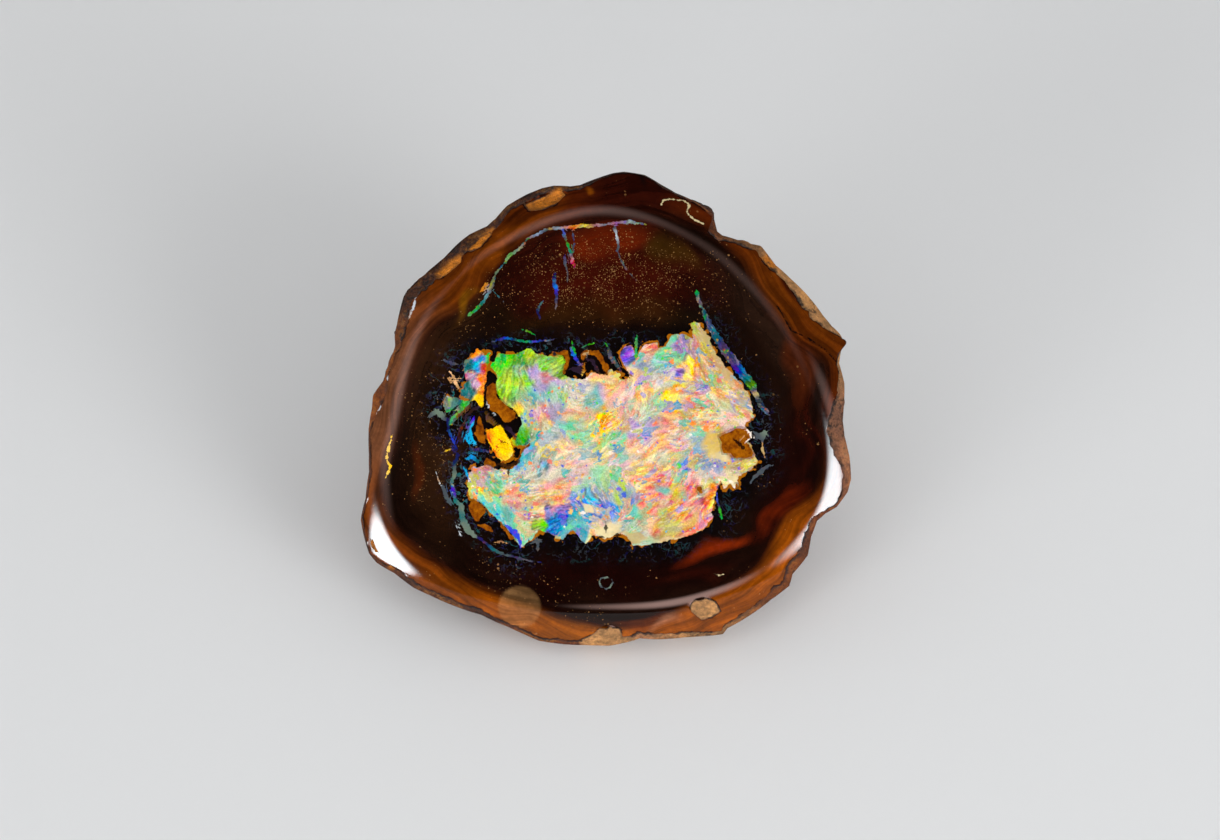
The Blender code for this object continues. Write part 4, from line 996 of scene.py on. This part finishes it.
CLOUDS, MOTTLE, SAND_PATCHES = (2.6, 3.0, 0.6), (0.35, 3.0, 0.6), (1.4, 3.0, 0.6)      # of the ironstone
BANDS_WAVE, BANDS_ALONG = 2.4, 0.08             # how much the bands bend, and how slowly they change
BANDS_FADE = (-3.5, 0.5, 0.08, 0.42)            # of their strength, towards the margin
SKIN_TONE, SKIN_PATCHES, SKIN_GRIT = (5.0, 4.0, 0.6), (1.6, 4.0, 0.65), (0.4, 4.0, 0.7)
STAINS = (3.2, 4.0, 0.7)
NEAR_FACE = (-7.5, -2.0, 0.15, 0.74)            # fade of the face's own tones into the skin, by height
POTCH_SHARE, LINE_SPARKLE, EDGE_SHADE, STAIN_SHADE = 0.88, 0.9, 0.85, 0.85      # at their strongest
LINE_VIVID = 0.45                   # how little other colours break into a sparkling line

# Colours at amounts from 0 to 1.
RAINBOW = [
    (0.0, "salmon"), (0.1, "peach"), (0.2, "gold"), (0.3, "lemon"), (0.42, "mint"), (0.54, "aqua"),
    (0.66, "sky"), (0.78, "lilac"), (0.9, "blush"), (1.0, "salmon"),
]
DOT_TONES = [
    (0.0, "leaf"), (0.12, "mint"), (0.22, "gold"), (0.38, "orange"), (0.54, "coral"), (0.64, "violet"),
    (0.76, "blue"), (0.86, "cyan"), (0.94, "milk"),
]
SKIN_RAMP = [
    (0.24, "umber"), (0.38, "bark"), (0.48, "toffee"), (0.57, "caramel"), (0.67, "honey"), (0.82, "tan"),
]
CARAMEL_RAMP = [(0.3, "russet"), (0.46, "caramel"), (0.66, "syrup")]
# Wisps of opal: size of the noise whose mean they follow, half width in it, and colours.
WISPS = [
    (1.5, 0.024, [(0.4, "navy"), (0.5, "slate"), (0.6, "teal")]),
    (0.8, 0.030, [(0.38, "slate"), (0.5, "navy"), (0.62, "slate")]),
]
PATCHES = [(1.5, 1.4, 0.45, 0.70), (0.7, 0.9, 0.60, 0.95)]      # size, stretch, rarity, strength
DOTS = [(0.28, 0.20), (0.55, 0.13)]                             # size and share of the cells that have one
SAND = [(0.10, 0.50), (0.16, 0.34), (0.28, 0.06)]               # the same for the sand grains


def feed(tree, socket, value):
    """Give a socket a node's output, a colour by its name, or numbers."""
    if isinstance(value, Value):
        tree.links.new(value.socket, socket)
    elif isinstance(value, str):
        socket.default_value = colour(value)
    elif isinstance(value, float) and socket.type == "VECTOR":
        socket.default_value = (value,) * 3
    else:
        socket.default_value = value


class Value:
    """One output of a shader node. Arithmetic and the methods add a node and give back its output."""

    def __init__(self, tree, socket=None):
        self.tree, self.socket = tree, socket

    def made(self, kind, inputs, output=0, **settings):
        node = self.tree.nodes.new(kind)
        for name, value in settings.items():
            setattr(node, name, value)
        for key, value in inputs.items():
            feed(self.tree, node.inputs[key], value)
        return Value(self.tree, node.outputs[output])

    def counted(self, operation, *values):
        """Arithmetic, done on vectors as soon as one of the values is a vector or a colour."""
        kinds = {value.socket.type for value in values if isinstance(value, Value)}
        kind = "ShaderNodeMath" if kinds == {"VALUE"} else "ShaderNodeVectorMath"
        return self.made(kind, dict(enumerate(values)), operation=operation)

    def __add__(self, other):
        return self.counted("ADD", self, other)

    def __sub__(self, other):
        return self.counted("SUBTRACT", self, other)

    def __rsub__(self, other):
        return self.counted("SUBTRACT", other, self)

    def __mul__(self, other):
        return self.counted("MULTIPLY", self, other)

    def __lt__(self, other):
        return self.counted("LESS_THAN", self, other)

    def __abs__(self):
        return self.counted("ABSOLUTE", self)

    def fade(self, low, high, start=0.0, end=1.0):
        """Goes smoothly from start to end as this value goes from low to high."""
        inputs = dict(enumerate((self, low, high, start, end)))
        return self.made("ShaderNodeMapRange", inputs, interpolation_type="SMOOTHSTEP")

    def noise(self, size, detail=2.0, roughness=0.5, output="Fac"):
        """Noise at this place, with features about size across."""
        inputs = {"Vector": self, "Scale": 1.0 / size, "Detail": detail, "Roughness": roughness}
        return self.made("ShaderNodeTexNoise", inputs, output)

    def noises(self, *shape):
        """Three noises at once, as a colour."""
        return self.noise(*shape, output="Color")

    def cells(self, size):
        """How far off the middle of its cell this place is, and three random numbers of the cell's own."""
        off = self.made("ShaderNodeTexVoronoi", {"Vector": self, "Scale": 1.0 / size}, "Distance")
        return off, Value(self.tree, off.socket.node.outputs["Color"]).parts()

    def parts(self):
        """The three numbers of a vector or colour."""
        first = self.made("ShaderNodeSeparateXYZ", {0: self})
        return [Value(self.tree, socket) for socket in first.socket.node.outputs]

    def ramp(self, stops, steps="LINEAR"):
        """Colours by name, each at its own amount of this value."""
        made = self.made("ShaderNodeValToRGB", {0: self})
        shades = made.socket.node.color_ramp
        shades.interpolation = steps
        while len(shades.elements) < len(stops):
            shades.elements.new(0.5)
        for element, (position, name) in zip(shades.elements, stops):
            element.position, element.color = position, colour(name)
        return made

    def mixed(self, other, share):
        """This colour with a share of another."""
        return self.made("ShaderNodeMix", {0: share, 6: self, 7: other}, 2, data_type="RGBA")

    def toned(self, light, hue=0.5, purity=1.0):
        """This colour times light, turned in hue (0.5 leaves it) and made purer."""
        inputs = {"Color": self, "Hue": hue, "Saturation": purity, "Value": light}
        return self.made("ShaderNodeHueSaturation", inputs)


def new_material(name):
    material = bpy.data.materials.new(name)
    material.use_nodes = True
    return material, material.node_tree


def finish(tree, inputs):
    """Feed the material's shader."""
    for name, value in inputs.items():
        feed(tree, tree.nodes["Principled BSDF"].inputs[name], value)


def combed(place, along, size, gap):
    """Noise smeared along the opal's strokes: three channels, each about 0 to 1 over most of it."""
    taps = [(place + along * (step * gap)).noises(size, 1.0) for step in range(-COMB_TAPS, COMB_TAPS + 1)]
    mean = sum(taps[1:], taps[0]) * (1.0 / len(taps))
    return [channel.fade(0.5 - COMB_SPREAD, 0.5 + COMB_SPREAD) for channel in mean.parts()]


def stroke_way(double):
    """Unit vector along the opal's strokes, from the cosine and sine of twice their angle."""
    x, y, _ = double.parts()
    turn = x.counted("ARCTAN2", y, x) * 0.5
    return x.made("ShaderNodeCombineXYZ", {0: x.counted("COSINE", turn), 1: x.counted("SINE", turn)})


def opal_dots(place, played, size, rarity, strength):
    """Small bright dots of pure colour, ragged and in clusters."""
    cluster = place.noise(2.6).fade(*CLUSTERS)
    off, chosen = (place + place.noises(0.4 * size, 2.0, 0.6) * (1.1 * size)).cells(size)
    share = (chosen[2] * 0.22 + off).fade(0.56, 0.36) * (chosen[0] < cluster * rarity)
    return played.mixed(chosen[1].ramp(DOT_TONES, "CONSTANT"), share * strength)


def opal_look(place, along, tint, vivid):
    """Play of colour: patches and strokes of other hues over each zone's own colour, and dots.
    Vivid zones keep their colour and calm ones don't. Those between are lively: their light changes most."""
    broad, fine = combed(place, along, *BROAD_STROKES), combed(place, along, *FINE_STROKES)
    combing = place.noises(2.2).parts()[0].fade(*COMBING)
    grain = place.noises(GRAIN_SIZE, 1.0).parts()
    calm = 1.0 - vivid
    steady, lively = calm * 0.95 + 0.05, calm * vivid * 4.0

    swing = broad[0].fade(0.0, 1.0, *HUE_SWINGS[0]) + fine[0].fade(0.0, 1.0, *HUE_SWINGS[1]) * combing
    hue = swing * (lively * 0.8 + steady) + 0.5 + (grain[1] - 0.5) * GRAIN_HUE
    light = fine[2].fade(0.0, 1.0, *LIGHT_SWINGS[1]) * combing + 1.0
    light *= broad[2].fade(0.0, 1.0, *LIGHT_SWINGS[0])
    light *= (broad[1] + fine[2]).fade(*LIVELY_LIGHT) * lively + 1.0
    light *= grain[0].fade(*GRAIN_LIGHT)
    played = tint.toned(light, hue, broad[1].fade(0.0, 1.0, *PURITY_SWING) * calm + 1.0)

    for size, stretch, rarity, strength in PATCHES:
        warp = place.noises(0.5 * size, 3.0, 0.6) * (0.9 * size)
        _, chosen = (place + along * ((broad[2] - 0.5) * stretch) + warp).cells(size)
        share = chosen[1].fade(rarity, 1.0, 0.0, strength) * steady * fine[1].fade(0.0, 0.8, 0.7, 1.0)
        played = played.mixed(chosen[0].ramp(RAINBOW).toned(light, hue, 1.15), share)

    which = fine[0] * 0.7 + broad[1]
    stroke = which.counted("FRACT", which).ramp(RAINBOW).toned(light, 0.5, 1.2)
    played = played.mixed(stroke, fine[1].fade(*STROKE_FADE) * steady * combing)
    played = played.mixed("milk", fine[0].fade(*MILK_FADE) * calm * combing)
    strength = calm * DOT_STRENGTH[0] + DOT_STRENGTH[1]
    for k, (size, rarity) in enumerate(DOTS):
        played = opal_dots(place + (40.0 * k, 0.0, 0.0), played, size, rarity, strength)
    return played


def ironstone_look(place, rim, ground, sandy):
    """Polished ironstone: fine banding along the margin, cloudy tone, sand grains."""
    x, y, _ = place.parts()
    across = place.noise(5.0, 1.0) * BANDS_WAVE + rim
    banded = x.made("ShaderNodeCombineXYZ", {0: across * 2.0, 1: x * BANDS_ALONG, 2: y * BANDS_ALONG})
    bands = banded.noise(1.0, 3.0, 0.6).fade(0.32, 0.68, -1.0, 1.0) * rim.fade(*BANDS_FADE)
    cloud = place.noise(*CLOUDS)
    light = (bands + 1.0) * cloud.fade(0.3, 0.7, 0.78, 1.22)
    toned = ground.toned(light * place.noise(*MOTTLE).fade(0.3, 0.7, 0.88, 1.10))
    strewn = place + place.noises(0.25, 2.0, 0.6) * 0.12
    dense = place.noise(*SAND_PATCHES).fade(0.34, 0.66, 0.2, 1.5)
    for size, rarity in SAND:
        off, chosen = strewn.cells(size)
        picked = chosen[0] < sandy * (dense * rarity) + cloud.fade(0.5, 0.7, 0.0, 0.03)
        toned = toned.mixed("tan", off.fade(0.42, 0.2) * picked * chosen[1].fade(0.0, 1.0, 0.05, 0.52))
    return toned


def skin_look(place, tint):
    """Rough ironstone skin: tan and ochre clay over brown, with black manganese stains."""
    patch, fine = place.noise(*SKIN_PATCHES), place.noise(*SKIN_GRIT)
    tone = place.noise(*SKIN_TONE) + (patch - 0.5) * 0.9 + (fine - 0.5) * 0.5
    near_face = place.parts()[2].fade(*NEAR_FACE)
    base = tone.ramp(SKIN_RAMP).mixed(tint.toned(tone.fade(0.3, 0.7, 0.6, 1.3)), near_face)
    stain = place.noise(*STAINS).fade(0.54, 0.66) * fine.fade(0.35, 0.6)
    return base.mixed("black", stain * STAIN_SHADE), patch, fine


def stone_material():
    """The whole stone's finish: opal, ironstone and threads under one polish, and the rough skin."""
    material, tree = new_material("boulder_opal")

    def field(name, output="Fac"):
        """What the mesh carries at its vertices under a name."""
        return Value(tree).made("ShaderNodeAttribute", {}, output, attribute_name=name)

    place, polish = field("face", "Vector"), field("polish")
    ragged = place.noise(*RAGGED) - 0.5
    ground = ironstone_look(place, field("rim"), field("ground", "Color"), field("sandy"))

    opal = ragged * 0.5 + field("opal")
    near = opal.fade(-3.6, -0.2) * field("wispy")
    curled = place + place.noises(0.9) * 0.8
    for size, width, tones in WISPS:
        thin = abs(curled.noise(size, 3.0, 0.55) - 0.5).fade(width, 0.2 * width)
        where = place.noise(0.9 * size, 2.0, 0.6).fade(0.42, 0.56)
        ground = ground.mixed(place.noise(0.7).ramp(tones), thin * near * where * 0.8)
    seam = place.noise(0.9).fade(0.46, 0.62) * 0.26 + opal
    ground = ground.mixed("syrup", seam.fade(*OPENING, 0.0, 0.85))

    along = stroke_way(field("strokes", "Vector"))
    play = opal_look(place, along, field("opal_tint", "Color"), field("vivid"))
    milky = (ragged * 0.5 + field("potch", "Alpha")).fade(0.25, 0.75)
    potch = field("potch", "Color").toned(place.noise(0.5, 3.0, 0.6).fade(0.3, 0.7, 0.90, 1.06))
    surface = ground.mixed(play.mixed(potch, milky * POTCH_SHARE), opal.fade(*OPENING))

    caramel = ragged * 0.4 + field("caramel")
    surface = surface.mixed("umber", (caramel + 0.16).fade(*OPENING, 0.0, 0.45))
    surface = surface.mixed(place.noise(0.5, 4.0, 0.65).ramp(CARAMEL_RAMP), caramel.fade(*OPENING))

    side, reach, sparkle = field("lines", "Vector").parts()
    line = reach * 0.8 - abs(side) + (place.noise(0.28, 2.0, 0.6) - 0.5) * 0.4 + ragged * 0.2
    tint = field("line_tint", "Color")
    sparkling = opal_look(place, along, tint, LINE_VIVID).toned(0.8, 0.5, 1.25)
    line_colour = tint.mixed(sparkling, sparkle * LINE_SPARKLE)
    surface = surface.mixed(line_colour, line.fade(-0.02, 0.04, 0.0, 0.9))

    skin, patch, fine = skin_look(place, field("skin_tint", "Color"))
    polished = (ragged * 0.14 + polish).fade(-0.02, 0.03)
    edge = abs(ragged * 0.3 + polish).fade(0.14, 0.03) * place.noise(1.6, 3.0, 0.6).fade(0.42, 0.55)
    rough, unpolished = patch.fade(0.3, 0.7, *SKIN_ROUGHNESS), 1.0 - polished
    height = (fine * 0.5 + patch) * unpolished
    finish(tree, {
        "Base Color": skin.mixed(surface, polished).mixed("black", edge * EDGE_SHADE),
        "Roughness": polished * (POLISH_ROUGHNESS - rough) + rough,
        "Specular IOR Level": unpolished * SKIN_SHEEN,
        "Coat Weight": polished * POLISH_SHEEN,
        "Coat Roughness": COAT_ROUGHNESS,
        "Normal": height.made("ShaderNodeBump", {"Height": height, "Distance": SKIN_BUMP}),
    })
    return material


# ---------------------------------------------------------------- the scene

FLOOR_SIZE, FLOOR_SQUARES = 6.0, 8              # metres, and squares along each side
FLOOR_GRAIN, FLOOR_ROUGHNESS = 0.02, (0.8, 0.9)
FLOOR_COLOUR = (0.80, 0.81, 0.82, 1.0)
CAMERA_DISTANCE = 330.2 * MM        # from the face, straight out along its normal
CAMERA_LENS = 120.0                 # focal length, in millimetres, on the sensor below
CAMERA_SENSOR = 36.0
CAMERA_CLIP = (0.01, 20.0)          # metres
CAMERA_AIM = (0.37, -0.94)          # u and v of the point of the face in the middle of the view

# Softboxes: bearing from the face's centre, angle off the face's normal, distance, size around the
# bearing's circle and size along its ray, radiance, tint, and how far from its middle it glows in full (its
# edge is at 0.5). Each is two lamps: a white glow lights the stone, and a tinted gloss, just in front of the
# glow, is what the polish mirrors.
COOL, MAUVE = (1.16, 1.28, 1.34), (1.0, 0.64, 0.56)
SOFTBOXES = [
    ("left_low", 213.0, 53.0, 0.60, 0.38, 0.36, 10.5, COOL, 0.34),
    ("right_low", 340.0, 42.0, 0.60, 0.44, 0.42, 9.0, COOL, 0.22),
    ("overhead", 100.0, 29.0, 0.70, 0.60, 0.40, 1.2, MAUVE, 0.0),
    ("upper_right", 45.0, 30.0, 0.70, 0.50, 0.40, 0.45, MAUVE, 0.0),
    ("left_high", 172.0, 29.0, 0.70, 0.50, 0.40, 1.4, MAUVE, 0.0),
    ("right_high", 4.0, 56.0, 0.70, 0.44, 0.44, 1.6, MAUVE, 0.1),
    ("front", 286.0, 33.0, 0.70, 0.36, 0.28, 3.5, MAUVE, 0.1),
]
GLOW, GLOSS = 0.85, 4.0             # of a softbox's radiance
GLOW_STANDS = 1.03                  # times as far off as the gloss
SOFTBOX_EDGE = 0.5                  # distance from its middle, in its own size, where its glow is gone
WHITE = (1.0, 1.0, 1.0)
WORLD_LIGHT, WORLD_IN_REFLECTIONS, WORLD_SEEN = 0.5, 0.01, 0.5


def face_to_world():
    """From the face frame to the world, both in metres."""
    turn = Matrix.Rotation(math.radians(FACE_TILT), 4, "X")
    return Matrix.Translation(FACE_CENTRE * MM) @ turn


def link(data, name):
    made = bpy.data.objects.new(name, data)
    bpy.context.scene.collection.objects.link(made)
    return made


def add_stone():
    mesh = stone_mesh()
    mark_stone(mesh)
    mesh.materials.append(stone_material())
    stone = link(mesh, "boulder_opal")
    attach(stone, "root")
    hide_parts(NODE)


def add_floor():
    bm = bmesh.new()
    bmesh.ops.create_grid(bm, x_segments=FLOOR_SQUARES, y_segments=FLOOR_SQUARES, size=FLOOR_SIZE / 2.0)
    mesh = bpy.data.meshes.new("floor")
    bm.to_mesh(mesh)
    bm.free()
    material, tree = new_material("pale_floor")
    place = Value(tree).made("ShaderNodeTexCoord", {}, "Object")
    finish(tree, {
        "Base Color": FLOOR_COLOUR,
        "Roughness": place.noise(FLOOR_GRAIN).fade(0.3, 0.7, *FLOOR_ROUGHNESS),
        "Specular IOR Level": 0.0,
    })
    mesh.materials.append(material)
    link(mesh, "floor")


def soften(lamp, tint, full):
    """Let a softbox's glow fall away towards its edges."""
    lamp.use_nodes = True
    tree = lamp.node_tree
    place = Value(tree).made("ShaderNodeNewGeometry", {}, "Parametric")
    off = place.made("ShaderNodeVectorMath", {0: place, 1: (0.5, 0.5, 0.0)}, "Value", operation="DISTANCE")
    feed(tree, tree.nodes["Emission"].inputs["Color"], (*tint, 1.0))
    feed(tree, tree.nodes["Emission"].inputs["Strength"], off.fade(SOFTBOX_EDGE, full))


def add_lights():
    for name, bearing, off, distance, around_size, ray_size, radiance, tint, full in SOFTBOXES:
        angle, lean = math.radians(bearing), math.radians(off)
        out = Vector((math.sin(lean) * math.cos(angle), math.sin(lean) * math.sin(angle), math.cos(lean)))
        side = Vector((-math.sin(angle), math.cos(angle), 0.0))
        turn = Matrix((side, out.cross(side), out)).transposed().to_4x4()
        for part, share, shade, stands in (("glow", GLOW, WHITE, GLOW_STANDS), ("gloss", GLOSS, tint, 1.0)):
            lamp = bpy.data.lights.new(f"{name}_{part}", "AREA")
            lamp.shape, lamp.size, lamp.size_y = "RECTANGLE", around_size, ray_size
            lamp.energy = share * radiance * math.pi * around_size * ray_size
            soften(lamp, shade, full)
            box = link(lamp, lamp.name)
            box.matrix_world = face_to_world() @ Matrix.Translation(out * distance * stands) @ turn
            box.visible_camera = False
            box.visible_glossy, box.visible_diffuse = part == "gloss", part == "glow"


def add_world():
    """Even light from all around, hardly seen in the polish."""
    world = bpy.data.worlds.new("studio")
    bpy.context.scene.world = world
    world.use_nodes = True
    tree = world.node_tree
    tree.nodes["Background"].inputs["Color"].default_value = (*WHITE, 1.0)
    tree.nodes["Background"].inputs["Strength"].default_value = WORLD_LIGHT
    seen = Value(tree, tree.nodes["Background"].outputs[0])
    for ray, strength in (("Is Glossy Ray", WORLD_IN_REFLECTIONS), ("Is Camera Ray", WORLD_SEEN)):
        share = seen.made("ShaderNodeLightPath", {}, ray)
        other = seen.made("ShaderNodeBackground", {"Color": (*WHITE, 1.0), "Strength": strength})
        seen = seen.made("ShaderNodeMixShader", {0: share, 1: seen, 2: other})
    feed(tree, tree.nodes["World Output"].inputs["Surface"], seen)


def add_camera():
    lens = bpy.data.cameras.new("camera")
    lens.lens, lens.sensor_width = CAMERA_LENS, CAMERA_SENSOR
    lens.clip_start, lens.clip_end = CAMERA_CLIP
    eye = link(lens, "camera")
    aim = Vector((CAMERA_AIM[0] * MM, CAMERA_AIM[1] * MM, CAMERA_DISTANCE))
    eye.matrix_world = face_to_world() @ Matrix.Translation(aim)
    bpy.context.scene.camera = eye


add_stone()
add_floor()
add_lights()
add_world()
add_camera()
bpy.context.scene.view_settings.view_transform = "Standard"
